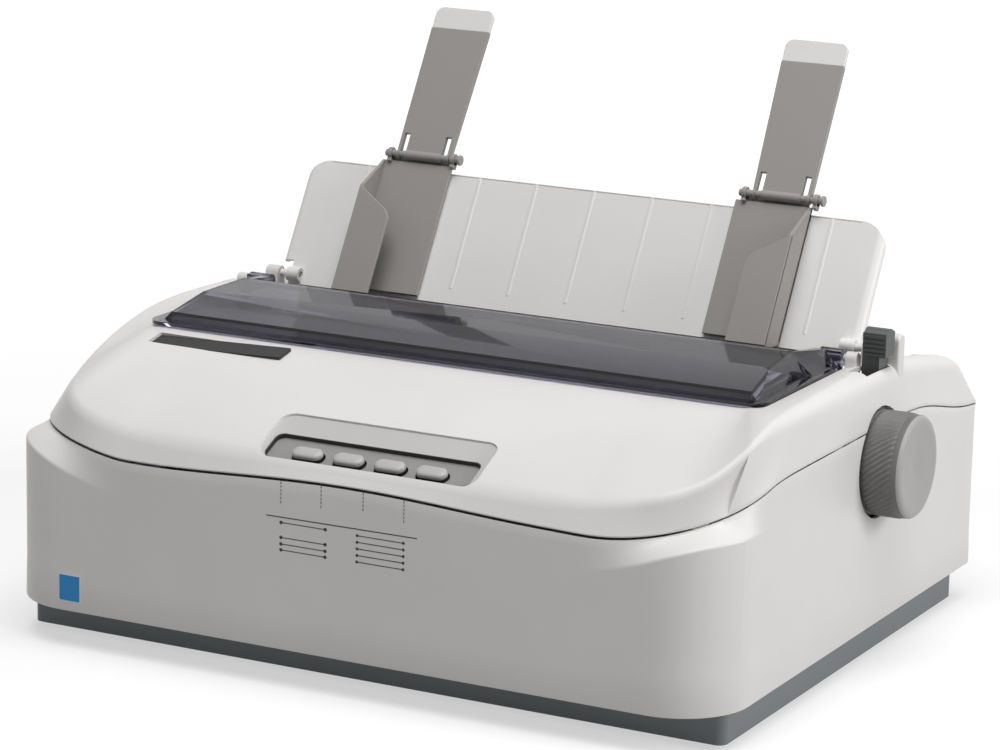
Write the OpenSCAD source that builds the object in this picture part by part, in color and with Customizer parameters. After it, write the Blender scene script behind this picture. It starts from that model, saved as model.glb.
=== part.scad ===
// Dot matrix printer, 80 columns, with sheet guide, tractors and the print mechanism.
// Millimetres. X to the right, Y to the rear, Z up. The front faces -Y.
// The origin is on the ground, under the centre of the case.

/* [Case] */
// Overall case width
case_w = 415; // [380:1:450]
// Overall case depth
case_d = 340; // [320:1:360]
// Height of the rubber feet
foot_h = 3; // [2:0.5:6]
// Height of the dark base pan above the feet
pan_h = 17; // [12:1:24]
// How far the base pan sits in from the sides
pan_side = 6; // [3:0.5:10]
// How far the base pan sits back from the front
pan_front = 24; // [14:1:30]
// How far the base pan sits in from the rear
pan_rear = 12; // [8:1:20]
// Wall thickness of the case mouldings
wall = 2.5; // [2:0.1:3.5]
// Radius of the case's front corners, in plan
corner_r = 38; // [24:1:44]
// Radius of the case's rear corners, in plan
rear_r = 5; // [3:1:12]
// Gap in the seam between the upper and lower case
seam_gap = 0.3; // [0.1:0.05:0.3]

/* [Seam] */
// Width of the seam's swept corner
seam_a = 79; // [60:1:95]
// Depth of the seam's swept corner
seam_b = 63; // [50:1:90]
// Fullness of the seam's swept corner
seam_e = 1.88; // [1.6:0.02:2.6]
// Seam height at the middle of the front
seam_mid = 109.6; // [100:0.2:116]
// Seam height at its low points on the front
seam_low = 104.7; // [96:0.2:112]
// Seam height along the sides
seam_side = 127.4; // [118:0.2:134]
// Seam height along the rear
seam_rear = 110.9; // [104:0.2:118]

/* [Deck] */
// Height of the deck round the smoked cover
deck_z = 152.4; // [146:0.2:158]
// Height of the deck at its rear end
deck_rear_z = 140.2; // [132:0.2:148]
// Where the front deck stops, under the smoked cover
deck_front_y = -64; // [-70:0.5:-50]
// Where the rear deck breaks into the rear slope
deck_break_y = 143; // [130:0.5:150]
// Width of the deck at each side of its opening
deck_side = 28.5; // [26:0.5:34]
// Height of the side shoulders above the deck
shoulder_h = 3.8; // [2:0.2:6]
// Softness of the shoulders
shoulder_r = 9; // [5:0.5:12]

/* [Mechanism] */
// Distance of the platen axis behind the centre
platen_y = 29; // [25:0.5:33]
// Height of the platen axis
platen_z = 108; // [106:0.5:112]
// Radius of the rubber platen
platen_r = 16; // [14:0.5:17]
// Length of the rubber platen
platen_len = 274; // [250:1:284]
// Radius of the platen shaft
shaft_r = 5; // [4:0.25:6]
// Radial clearance of turning and sliding fits
run_gap = 0.05; // [0.02:0.01:0.1]
// Radius of the paper feed knob
knob_r = 27.7; // [22:0.1:29]
// Length of the paper feed knob
knob_len = 24.5; // [18:0.5:30]
// Gear module
gear_m = 1; // [1:0.05:1.02]
// Gap between the meshing teeth's flanks
backlash = 0.3; // [0.2:0.05:0.5]
// Height of the carriage guide rod
guide_rod_z = 84; // [82:0.5:86]
// Distance of the carriage guide rod from the centre
guide_rod_y = -18; // [-20:0.5:-16]
// Where the carriage stands at rest
carriage_x = -104; // [-108:1:104]

/* [Covers and guides] */
// Backward tilt of the sheet guide from upright
guide_tilt = 30.3; // [26:0.1:36]
// Slope length of the sheet guide
guide_len = 70.9; // [60:0.5:80]
// How far the sheet guide reaches out over the deck at the left
guide_over = 2.8; // [0:0.2:4]
// How far the sheet guide's right edge stays in from the deck
guide_in = 4.3; // [3:0.1:8]
// Radius of the sheet guide's turned side edges
guide_edge_r = 5; // [4:0.5:5]
// Depth of the paper channel in the edge guides
channel_d = 17; // [12:0.5:20]
// Width of the folding paper arms
arm_w = 34.3; // [26:0.5:36]
// Length of the folding paper arms from their pins
arm_len = 91; // [60:1:100]
// How much wider the paper arms are at their tips
arm_flare = 3; // [0:0.5:4]
// Height of the paper select lever's top
lever_top = 175; // [168:0.5:180]

/* [Controls] */
// Slope of the control panel
panel_slope = 25.5; // [20:0.5:30]
// Distance between the buttons
button_step = 23.7; // [20:0.1:25]
// Length of a button
button_w = 17; // [12:0.5:19]
// Width of a button
button_d = 8; // [6:0.5:10]
// Height of a button above the panel's window
button_h = 4; // [3:0.2:5]

/* [Hidden] */
hw = case_w / 2;
hd = case_d / 2;
case_z = foot_h + pan_h;
deck_open = hw - deck_side;
cyl = 48;

white = [0.9, 0.89, 0.88];
grey = [0.6, 0.59, 0.58];
pale = [0.86, 0.85, 0.84];
dark = [0.2, 0.21, 0.21];
steel = [0.7, 0.7, 0.72];
smoke = [0.3, 0.29, 0.36, 0.6];

// ---- plan outlines of the case ----

// Height of the seam along the front, from the middle to the swept corner
function front_seam(x) =
  seam_mid + (seam_low - seam_mid) * (0.5 - 0.5 * cos(180 * x / (hw - seam_a)));

// Height of the seam round a swept corner, u from 0 at the front to 1 at the side. It climbs
// over the knob at the right and levels out at the left.
function corner_seam(u, right) =
  right ? seam_low + (seam_side - seam_low) * (-0.53 * u + 2.64 * u * u - 1.11 * u * u * u) :
  seam_low + (seam_rear - seam_low) * (1 - pow(1 - min(u / 0.6, 1), 1.5));

// Height of the seam along the side
function smooth(v) = v <= 0 ? 0 : v >= 1 ? 1 : v * v * (3 - 2 * v);
side_y0 = -hd + seam_b;
side_y1 = hd - rear_r;
function side_seam(y, right) =
  right ? seam_side + (seam_rear - seam_side) * smooth((y - 70) / (side_y1 - 70)) : seam_rear;

// Point on the lower case's own outline, s millimetres on from the swept corner's start,
// and the distance along it that lies nearest to a point inside
flat_s = seam_a - corner_r;
arc_s = corner_r * PI / 2;
function body_at(s) =
  s <= flat_s ? [hw - seam_a + s, -hd] :
  s >= flat_s + arc_s ? [hw, -hd + corner_r + s - flat_s - arc_s] :
  let (a = (s - flat_s) / arc_s * 90)
  [hw - corner_r + corner_r * sin(a), -hd + corner_r - corner_r * cos(a)];
function nearest_s(x, y) =
  x <= hw - corner_r ? x - hw + seam_a :
  y >= -hd + corner_r ? flat_s + arc_s + y + hd - corner_r :
  flat_s + arc_s * atan2(x - hw + corner_r, -hd + corner_r - y) / 90;

// Height of the crease below the swept corner, by distance along the outline
crease = [[0, 85], [10, 87.6], [36, 95.2], [46, 99.2], [70, 105.5], [100, 106.3], [126, 105]];

// Height of the deck along its inner edge
function edge_z(y) =
  y < 35 ? deck_z : deck_z + (deck_rear_z - deck_z) * (y - 35) / (deck_break_y - 41);

// Lip that the seam's upper side rises to. Each row has the share of the swept corner, how
// far in the lip lies from the side and from the front, as shares of the corner's width and
// depth, and its height above the seam's low point. At the right it folds up to the shoulder
// over the knob; at the left it fades into a dome.
right_lip = [[0, 1, 0.106, 14.3], [0.15, 0.804, 0.135, 16.3], [0.3, 0.62, 0.187, 19],
  [0.4, 0.481, 0.241, 21.5], [0.5, 0.342, 0.338, 25.3], [0.57, 0.23, 0.457, 30.6],
  [0.62, 0.146, 0.611, 37.8], [0.66, 0.084, 0.749, 44.5], [0.74, 0.054, 0.913, 48.5],
  [0.85, 0.044, 1.111, 50.5], [1, 0.042, 1.429, 51.5]];
left_lip = [[0, 1, 0.106, 14.3], [0.15, 0.804, 0.135, 16.3], [0.3, 0.62, 0.19, 19],
  [0.4, 0.494, 0.254, 21.6], [0.5, 0.38, 0.365, 25.1], [0.6, 0.297, 0.5, 26.8],
  [0.7, 0.234, 0.683, 27.8], [0.8, 0.165, 0.825, 27.3], [0.9, 0.108, 0.96, 27],
  [1, 0.063, 1.095, 28.3]];
function column(table, i) = [for (row = table) [row[0], row[i]]];
function corner_lip(u, right) =
  let (t = right ? right_lip : left_lip)
  [hw - seam_a * lookup(u, column(t, 1)), -hd + seam_b * lookup(u, column(t, 2)),
   seam_low + lookup(u, column(t, 3))];

// One station of the case: [seam point, lower outline point, crease height, lip, how far
// along the deck its bend lies, how much the deck bulges there, softness of the lip, deck
// edge]
function front_station(x) =
  let (v = abs(x) / (hw - seam_a), z = front_seam(abs(x)))
  [[x, -hd, z], [x, -hd], 85, [x, -hd + 2.7 + 4 * pow(v, 3), seam_low + 13.6 + 0.7 * pow(v, 3)],
   0.284, 10.9, 4, [x, deck_front_y, deck_z]];

edge_r = 8;
function corner_edge(u) =
  u < 0.6 ? [hw - seam_a + (deck_open - edge_r - hw + seam_a) * u / 0.6, deck_front_y] :
  let (a = (u - 0.6) / 0.4 * 90)
  [deck_open - edge_r + edge_r * sin(a), deck_front_y + edge_r - edge_r * cos(a)];

function corner_station(u, right) =
  let (a = 90 * u, k = 2 / seam_e,
    px = hw - seam_a + seam_a * pow(sin(a), k),
    py = -hd + seam_b - seam_b * pow(cos(a), k),
    e = corner_edge(u), s = nearest_s(px, py))
  [[px, py, corner_seam(u, right)], body_at(s), lookup(s, crease), corner_lip(u, right),
   0.284 + 0.116 * smooth(u), 10.9 - 8.4 * smooth(u), 4 + 5 * smooth(u * 2 - 1),
   [e[0], e[1], deck_z]];

// Height of the side's shoulder; the left one dips to the front
function shoulder_z(y, right) =
  let (high = deck_z + shoulder_h,
    back = y < 40 ? 0 : pow((y - 40) / (deck_break_y - 40), 1.6),
    dip = right ? 0 : 23 * pow(1 - min(max((y - side_y0 - 6) / 100, 0), 1), 2.2))
  high - (high - deck_rear_z - 0.5) * back - dip;

function side_station(v, right) =
  let (y = side_y0 + (side_y1 - side_y0) * v,
    ey = deck_front_y + edge_r + (137 - deck_front_y - edge_r) * v,
    first = corner_lip(1, right),
    qy = first[1] + (deck_break_y - 1 - first[1]) * v)
  [[hw, y, side_seam(y, right)], [hw, y], 105 - 5 * smooth((v - 0.5) * 2),
   [first[0] + (hw - 4 - first[0]) * smooth(v * 3), qy, shoulder_z(qy, right)],
   0.4, 2.5, shoulder_r, [deck_open, ey, edge_z(ey)]];

function rear_station(a) =
  [[hw - rear_r + rear_r * cos(a), side_y1 + rear_r * sin(a), seam_rear],
   [hw - rear_r + rear_r * cos(a), side_y1 + rear_r * sin(a)], 100,
   [hw - 4 - 3 * sin(a), deck_break_y - 1 + sin(a), deck_rear_z + 0.5], 0.4, 2.5 - 2 * sin(a),
   shoulder_r - 3 * sin(a), [deck_open, 137, edge_z(137)]];

last_station =
  [[deck_open, hd, seam_rear], [deck_open, hd], 100, [deck_open, deck_break_y, deck_rear_z],
   0.4, 0.1, 2.5, [deck_open, 137, edge_z(137)]];

front_n = 5;
corner_n = 18;
side_n = 12;
rear_n = 3;
function half(right) = concat(
  [for (i = [1:corner_n]) corner_station(i / corner_n, right)],
  [for (i = [1:side_n]) side_station(i / side_n, right)],
  [for (i = [1:rear_n]) rear_station(90 * i / rear_n)],
  [last_station]);

function flip(p) = len(p) == 3 ? [-p[0], p[1], p[2]] : [-p[0], p[1]];
function mirrored(s) = [flip(s[0]), flip(s[1]), s[2], flip(s[3]), s[4], s[5], s[6], flip(s[7])];
left_half = half(false);
stations = concat(
  [for (i = [len(left_half) - 1:-1:0]) mirrored(left_half[i])],
  [for (i = [-front_n:front_n]) front_station((hw - seam_a) * i / front_n)],
  half(true));

// Plan direction from a station's seam point to the inside
function inward(s) =
  let (d = [s[7][0] - s[0][0], s[7][1] - s[0][1]], l = norm(d)) [d[0] / l, d[1] / l, 0];

// Point at t on the curve from a to c that bends towards b with sharpness w
function bend(a, b, c, w, t) =
  let (i = (1 - t) * (1 - t), j = 2 * w * t * (1 - t), k = t * t)
  (a * i + b * j + c * k) / (i + j + k);

// Line of an upper section from the seam over the lip to the deck's edge, moved in by a
// thickness
function upper_line(s, inset, n) =
  let (d = inward(s), up = [0, 0, 1],
    a = s[0] + up * seam_gap + d * inset,
    q = s[3] + d * inset * 0.9 - up * inset,
    e = s[7] - up * inset,
    m = s[3] + (s[7] - s[3]) * s[4] + up * (s[5] - inset),
    reach = min(s[6], norm(a - q) * 0.45),
    wall_end = q + (a - q) / norm(a - q) * reach,
    t0 = min(reach / (2 * norm(m - q)), 0.45),
    deck_start = bend(q, m, e, 1, t0))
  concat(
    [a],
    [for (i = [0:n - 1]) bend(wall_end, q, deck_start, 0.85, i / n)],
    [for (i = [0:2 * n - 1]) bend(q, m, e, 1, t0 + (1 - t0) * i / (2 * n - 1))]);

function reversed(line) = [for (i = [len(line) - 1:-1:0]) line[i]];
function upper_section(s) = concat(upper_line(s, 0, 4), reversed(upper_line(s, wall, 3)));

function lower_section(s) =
  let (d = inward(s), p = [s[1][0], s[1][1], 0], up = [0, 0, 1])
  [p + up * case_z, p + up * s[2], s[0], s[0] + d * wall, p + d * wall + up * (s[2] - 3),
   p + d * wall + up * case_z];

// Skin through a row of equal sections, closed round or with flat ends
module loft(sections, closed) {
  n = len(sections);
  m = len(sections[0]);
  wraps = closed ? n : n - 1;
  skin = [for (i = [0:wraps - 1], j = [0:m - 1])
    let (a = i * m + j, b = i * m + (j + 1) % m, c = ((i + 1) % n) * m + (j + 1) % m,
      d = ((i + 1) % n) * m + j)
    each [[a, b, c], [a, c, d]]];
  first = [for (j = [m - 1:-1:0]) j];
  last = [for (j = [0:m - 1]) (n - 1) * m + j];
  polyhedron(
    points = [for (s = sections) each s],
    faces = closed ? skin : concat(skin, [first, last]),
    convexity = 8);
}

// ---- small helpers ----

module bar(from, to) {
  translate(from)
    cube(to - from);
}

module rod_x(x0, x1, y, z, r) {
  translate([x0, y, z])
    rotate([0, 90, 0])
      cylinder(h = x1 - x0, r = r, $fn = cyl);
}

module rod_y(y0, y1, x, z, r) {
  translate([x, y0, z])
    rotate([-90, 0, 0])
      cylinder(h = y1 - y0, r = r, $fn = cyl);
}

module rod_z(z0, z1, x, y, r) {
  translate([x, y, z0])
    cylinder(h = z1 - z0, r = r, $fn = cyl);
}

module both_sides() {
  children();
  mirror([1, 0, 0])
    children();
}

module round_plate(x0, y0, x1, y1, r) {
  for (x = [x0 + r, x1 - r], y = [y0 + r, y1 - r])
    translate([x, y])
      circle(r = r, $fn = cyl);
  translate([x0 + r, y0])
    square([x1 - x0 - 2 * r, y1 - y0]);
  translate([x0, y0 + r])
    square([x1 - x0, y1 - y0 - 2 * r]);
}

module stadium(w, d) {
  for (x = [-w / 2 + d / 2, w / 2 - d / 2])
    translate([x, 0])
      circle(d = d, $fn = 32);
  translate([-w / 2 + d / 2, -d / 2])
    square([w - d, d]);
}

// Plate across X from a polygon of [y, z] points
module side_plate(x0, x1) {
  translate([x0, 0, 0])
    rotate([90, 0, 90])
      linear_extrude(x1 - x0)
        children();
}

// ---- case ----

pan_x = hw - pan_side;
pan_y0 = -hd + pan_front;
pan_y1 = hd - pan_rear;
pan_floor = foot_h + wall;
post_x = 100;
post_y = 60;
boss_x = pan_x - 14.5;
boss_y0 = pan_y0 + 13;
boss_y1 = pan_y1 - 11;
frame_z = 26;
foot_x = pan_x - 22;
foot_y0 = pan_y0 + 22;
foot_y1 = pan_y1 - 22;

module base_pan() {
  color(dark)
    difference() {
      union() {
        difference() {
          translate([0, 0, foot_h])
            linear_extrude(pan_h)
              round_plate(-pan_x, pan_y0, pan_x, pan_y1, 5);
          translate([0, 0, pan_floor])
            linear_extrude(pan_h)
              round_plate(-pan_x + wall, pan_y0 + wall, pan_x - wall, pan_y1 - wall, 3);
        }
        for (x = [-post_x, post_x], y = [-post_y, post_y])
          rod_z(foot_h, frame_z, x, y, 6);
        for (x = [board_x0 + 8, board_x1 - 8], y = [board_y0 + 8, board_y1 - 8])
          rod_z(foot_h, board_z, x, y, 4);
      }
      for (x = [-post_x, post_x], y = [-post_y, post_y])
        rod_z(frame_z - 7, frame_z + 1, x, y, 1.75);
      for (x = [-boss_x, boss_x], y = [boss_y0, boss_y1]) {
        rod_z(foot_h - 1, foot_h + 1.5, x, y, 4);
        rod_z(foot_h - 1, pan_floor + 1, x, y, 2);
      }
      for (x = [-foot_x, foot_x], y = [foot_y0, foot_y1])
        rod_z(foot_h - 1, foot_h + 1.5, x, y, 5);
    }
}

module feet() {
  color(dark)
    for (x = [-foot_x, foot_x], y = [foot_y0, foot_y1]) {
      rod_z(0, foot_h, x, y, 9);
      rod_z(foot_h, foot_h + 1.5, x, y, 5);
    }
}

well_r = knob_r + 1.8;
well_x = hw - 7.5;
module knob_hole(r) {
  rod_x(well_x + 1, hw + 10, platen_y, platen_z, r);
}

rear_cut_x0 = -162;
inlet_x = -150;
inlet_z = 62;
switch_x = -112;
parallel_x = 95;
usb_x = 148;
port_z = 38;
module rear_hole(x, z, w, h) {
  bar([x - w / 2, hd - 12, z - h / 2], [x + w / 2, hd + 5, z + h / 2]);
}

module lower_case() {
  color(white) {
    resize([0, 0, 0])
      difference() {
        loft([for (s = stations) lower_section(s)], true);
        knob_hole(well_r);
        rear_hole(inlet_x, inlet_z, 27.3, 19.8);
        rear_hole(switch_x, inlet_z, 20.3, 13.3);
        rear_hole(parallel_x, port_z, 56.3, 13.3);
        rear_hole(usb_x, port_z, 13.3, 12.3);
      }
    translate([0, 0, case_z])
      linear_extrude(wall)
        difference() {
          union() {
            round_plate(-hw + 1.2, -hd + 1.2, hw - 1.2, 0, corner_r - 1.2);
            round_plate(-hw + 1.2, -hd + 100, hw - 1.2, hd - 1.2, rear_r - 1.2);
          }
          round_plate(-pan_x + 21, pan_y0 + 20, pan_x - 21, pan_y1 - 18, 8);
        }
    for (x = [-boss_x, boss_x], y = [boss_y0, boss_y1])
      difference() {
        rod_z(pan_floor, case_z + 1, x, y, 5);
        rod_z(pan_floor - 1, case_z - 4, x, y, 1.5);
      }
    difference() {
      union() {
        rod_x(well_x, well_x + 1.8, platen_y, platen_z, well_r + 4);
        bar([well_x, platen_y - 18, case_z + 1], [well_x + 1.8, platen_y + 18, platen_z - 20]);
      }
      rod_x(well_x - 1, well_x + 3, platen_y, platen_z, 9);
    }
  }
}

// Frame of the control panel: x along the case, y up the slope, z out of the deck
cp_x = 8.5;
cp_y = -hd + 14.3;
cp_z = 124.2;
cp_x0 = -67;
cp_x1 = 64;
cp_y0 = -12;
cp_y1 = 26;
module on_panel() {
  translate([cp_x, cp_y, cp_z])
    rotate([panel_slope, 0, 0])
      children();
}

lever_x0 = deck_open + 11.4;
lever_x1 = deck_open + 21;
lever_x2 = deck_open + 24.4;
slot_x0 = lever_x0 - 0.6;
slot_x1 = lever_x1 + 0.7;
// Name plate, let into the deck in front of the smoked cover
plate_w = 81;
plate_d = 13;
plate_t = 1.4;
deck_front = front_station(hw - seam_a);
plate_at = bend(deck_front[3],
  deck_front[3] + (deck_front[7] - deck_front[3]) * deck_front[4] + [0, 0, deck_front[5]],
  deck_front[7], 1, 0.88);
plate_pos = [-126.5, plate_at[1], plate_at[2] - plate_t + 0.2];
plate_tilt = [11, -2, 0];
module plate_shape(grow) {
  round_plate(-plate_w / 2 - grow, -plate_d / 2 - grow, plate_w / 2 + grow, plate_d / 2 + grow, 1);
}

module upper_case() {
  color(white) {
    resize([0, 0, 0])
      difference() {
        loft([for (s = stations) upper_section(s)], false);
        knob_hole(well_r);
        bar([slot_x0, 21, 138], [slot_x1, 52.6, 170]);
        // Rebate for the smoked cover's rim
        bar([-cover_x - 0.5, cover_y0 - 0.5, deck_z], [cover_x + 0.5, 60, deck_z + 4]);
        on_panel()
          translate([0, 0, -14])
            linear_extrude(40)
              round_plate(cp_x0, cp_y0, cp_x1, cp_y1, 9);
        translate(plate_pos)
          rotate(plate_tilt)
            linear_extrude(6)
              plate_shape(0.15);
      }
    both_sides() {
      // Posts and stub pins of the smoked cover
      bar([deck_open + 2.6, cover_y - 3.6, 148], [deck_open + 9, cover_y + 3.6, cover_z]);
      rod_x(deck_open + 2.6, deck_open + 9, cover_y, cover_z, 3.6);
      rod_x(deck_open - 7, deck_open + 3, cover_y, cover_z, hinge_r);
      // Posts and stub pins of the sheet guide
      bar([deck_open - 0.5, guide_y - 4, 145.5], [deck_open + 8, guide_y + 4, guide_z]);
      rod_x(deck_open - 0.5, deck_open + 8, guide_y, guide_z, 4);
      rod_x(deck_open - 10, deck_open, guide_y, guide_z, hinge_r);
    }
    // Guard behind the paper select lever
    bar([deck_open + 19, 55, 146], [deck_open + 25.6, 63, 166]);
    rod_x(deck_open + 19, deck_open + 25.6, 59, 166, 4);
  }
}

// ---- covers ----

cover_y = 40;
cover_z = 158;
hinge_r = 2;
cover_x = deck_open + 2;
cover_y0 = -68;
cover_t = 2;
flange_z = deck_z + 0.35;
// Rows of the dome's skin: distance from the centre, height, how far in it ends at each side
dome_rows = [[-61, flange_z, 5], [-58, 158.6, 10], [-30, 165, 12.5], [6.5, 166.6, 16],
  [6.5, flange_z, 5]];
module cover_dome(g) {
  hull()
    for (row = dome_rows, s = [-1, 1])
      translate([s * (cover_x - row[2] - g), row[0] - g * sign(row[0] + 30),
        row[1] - (row[1] > flange_z ? g : 0)])
        cube(0.01, center = true);
}

module cover_cheek(g) {
  hull() {
    for (x = [cover_x - 17 + g, cover_x - 0.5 - g])
      for (y = [4, 36.5 - g])
        translate([x, y, flange_z])
          cube(0.01, center = true);
    translate([cover_x - 17 + g, 4, 166 - g])
      cube(0.01, center = true);
    translate([cover_x - 5 - g, 4, 154.5])
      cube(0.01, center = true);
    for (x = [cover_x - 16 + g, cover_x - 10 - g])
      translate([x, 36.5 - g, 162 - g])
        cube(0.01, center = true);
  }
}

module smoked_cover() {
  color(smoke) {
    resize([0, 0, 0])
      difference() {
        union() {
          translate([0, 0, flange_z])
            linear_extrude(cover_t)
              round_plate(-cover_x, cover_y0, cover_x, 36.5, 9);
          cover_dome(0);
          both_sides()
            cover_cheek(0);
        }
        translate([0, 0, -0.5])
          cover_dome(cover_t);
        both_sides()
          translate([0, 0, -0.5])
            cover_cheek(cover_t);
        // Open at the rear, above the platen
        bar([19 - cover_x, 0, 140], [cover_x - 19, 20, 161]);
        bar([17.5 - cover_x, 6.5, 140], [cover_x - 17.5, 60, 170]);
        bar([-hw, -80, 140], [hw, 80, flange_z]);
      }
    both_sides()
      difference() {
        union() {
          rod_x(deck_open - 11.8, deck_open + 1.2, cover_y, cover_z, 4.5);
          bar([deck_open - 11.8, 34.9, 154], [deck_open + 1.2, cover_y, 162]);
        }
        rod_x(deck_open - 8, deck_open + 3, cover_y, cover_z, hinge_r + run_gap);
      }
  }
}

// Frame of the sheet guide: z up its slope, y through it to the back
guide_y = 70;
guide_z = 157;
module on_guide() {
  translate([0, guide_y, guide_z])
    rotate([-guide_tilt, 0, 0])
      children();
}

face_y = 2.05;
guide_t = 2.5;
rib_h = 0.5;
rib_step = 21;
guide_foot = 9;
module sheet_guide() {
  x0 = -deck_open - guide_over;
  x1 = deck_open - guide_in;
  foot = deck_open - 5;
  color(white)
    on_guide() {
      intersection() {
        translate([0, 0, -3])
          linear_extrude(guide_len + 3) {
            translate([x0 + guide_edge_r, face_y])
              square([x1 - x0 - 2 * guide_edge_r, guide_t]);
            for (x = [x0 + guide_edge_r, x1 - guide_edge_r])
              translate([x, face_y + guide_edge_r])
                intersection() {
                  difference() {
                    circle(r = guide_edge_r, $fn = 64);
                    circle(r = guide_edge_r - guide_t, $fn = 64);
                  }
                  translate([x > 0 ? 0 : -30, -30])
                    square(30);
                }
          }
        rotate([90, 0, 0])
          translate([0, 0, -40])
            linear_extrude(60)
              union() {
                round_plate(x0, guide_foot, x1, guide_len, 15);
                translate([x0, guide_foot])
                  square([x1 - x0, 30]);
                translate([-foot, -5])
                  square([2 * foot, 20]);
              }
      }
      for (i = [-7:7])
        bar([i * rib_step - 0.4, face_y - rib_h, 4],
          [i * rib_step + 0.4, face_y + 0.1, guide_len - 3]);
      both_sides()
        difference() {
          union() {
            rod_x(foot - 8, foot, 0, 0, 4);
            bar([foot - 8, 0, -4], [foot - 4, face_y + guide_t, 4]);
          }
          rod_x(foot - 8.5, foot + 2, 0, 0, hinge_r + run_gap);
        }
    }
}

// Edge guide for the +X side: back plate, outer fence, front lip and hooks over the top
plate_y0 = -1;
plate_y1 = 1.15;
plate_top = guide_len + 3.3;
pin_z = guide_len + 7.1;
pin_y = -2;
module edge_guide(x0, x1, fence, pin_x0, pin_x1) {
  out = fence > 0 ? x1 : x0;
  lip_in = out - fence * 23;
  bar([x0, plate_y0, -2], [x1, plate_y1, plate_top]);
  side_plate(min(out, out - fence * 2), max(out, out - fence * 2))
    polygon([[plate_y1, -2], [plate_y1, plate_top], [plate_y0, plate_top], [plate_y0 - channel_d, 52],
      [plate_y0 - channel_d, -4]]);
  translate([0, plate_y0 - channel_d + 2, 0])
    rotate([90, 0, 0])
      linear_extrude(2)
        polygon([[out, -4], [out, 52], [lip_in + fence * 3, 39], [lip_in, 33], [lip_in, -4]]);
  // Hook over the sheet guide's top edge
  bar([(x0 + x1) / 2 - 11, plate_y1 - 0.2, guide_len + 0.6],
    [(x0 + x1) / 2 + 11, 6.9, guide_len + 2.6]);
  bar([(x0 + x1) / 2 - 11, 5.1, guide_len - 8], [(x0 + x1) / 2 + 11, 6.9, guide_len + 2.6]);
  // Wall behind the arm's pin
  bar([x0 + 3, 2, guide_len + 0.6], [x1 - 3, 3.4, pin_z + 3]);
  // Ears that hold the arm's pin
  for (x = [pin_x0 + 2, pin_x1 - 4.5])
    {
      rod_x(x, x + 2.5, pin_y, pin_z, 3.4);
      bar([x, pin_y - 1.4, 73], [x + 2.5, plate_y1, pin_z]);
    }
  rod_x(pin_x0, pin_x1, pin_y, pin_z, hinge_r);
  rod_x(pin_x1, pin_x1 + 1.5, pin_y, pin_z, 3);
}

left_x0 = -134;
left_x1 = -89.5;
left_pin0 = -132.2;
left_pin1 = -85.5;
right_x0 = 85.7;
right_x1 = 130.5;
right_pin0 = 87.6;
right_pin1 = 136;
module left_edge_guide() {
  color(grey)
    on_guide()
      edge_guide(left_x0, left_x1, -1, left_pin0, left_pin1);
}

module right_edge_guide() {
  color(grey)
    on_guide()
      edge_guide(right_x0, right_x1, 1, right_pin0, right_pin1);
}

left_arm_x = -125;
right_arm_x = 95.4;
arm_t = 3;
module arm(x, inner) {
  flare = [min(inner, 0) * arm_flare, max(inner, 0) * arm_flare];
  on_guide() {
    translate([0, pin_y + arm_t / 2, pin_z])
      rotate([90, 0, 0])
        linear_extrude(arm_t)
          hull() {
            translate([x, 2.6])
              square([arm_w, 1]);
            for (side = [x + 5 + flare[0], x + arm_w - 5 + flare[1]])
              translate([side, arm_len - 5])
                circle(r = 5, $fn = cyl);
          }
    for (e = [x + 5.5, x + arm_w - 10])
      difference() {
        union() {
          rod_x(e, e + 4.5, pin_y, pin_z, 3.6);
          bar([e, pin_y - arm_t / 2, pin_z], [e + 4.5, pin_y + arm_t / 2, pin_z + 5]);
        }
        rod_x(e - 1, e + 6, pin_y, pin_z, hinge_r + run_gap);
      }
  }
}

module left_arm() {
  color(grey)
    arm(left_arm_x, 1);
}

module right_arm() {
  color(grey)
    arm(right_arm_x, -1);
}

// ---- controls ----

button_y = -3;
button_x0 = -35.4;
win_x0 = -58;
win_x1 = 58;
win_y = 9.7;
panel_t = 4.6;
win_deep = 3;
module control_panel() {
  g = 0.15;
  color([0.8, 0.79, 0.78])
    on_panel()
      difference() {
        translate([0, 0, -panel_t])
          linear_extrude(panel_t)
            round_plate(cp_x0 + g, cp_y0 + g, cp_x1 - g, cp_y1 - g, 9 - g);
        translate([0, 0, -win_deep])
          linear_extrude(5)
            round_plate(win_x0, -win_y, win_x1, win_y, 5);
        for (i = [0:3])
          translate([button_x0 + i * button_step, button_y, -6])
            linear_extrude(10)
              stadium(button_w + 0.8, button_d + 0.8);
      }
}

module button(i) {
  color([0.72, 0.71, 0.7])
    on_panel()
      translate([button_x0 + i * button_step, button_y, 0]) {
        translate([0, 0, -panel_t])
          linear_extrude(panel_t + button_h - win_deep)
            stadium(button_w, button_d);
        translate([0, 0, -panel_t - 1.6])
          cylinder(h = 2, r = 2, $fn = cyl);
      }
}

module button_1() {
  button(0);
}

module button_2() {
  button(1);
}

module button_3() {
  button(2);
}

module button_4() {
  button(3);
}

module name_plate() {
  color([0.05, 0.05, 0.05])
    translate(plate_pos)
      rotate(plate_tilt)
        linear_extrude(1.4)
          plate_shape(0);
}

module front_label() {
  color([0.1, 0.45, 0.75])
    bar([-169.4, -hd - 0.3, foot_h + 22.2], [-155.4, -hd, foot_h + 37.4]);
}

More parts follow.
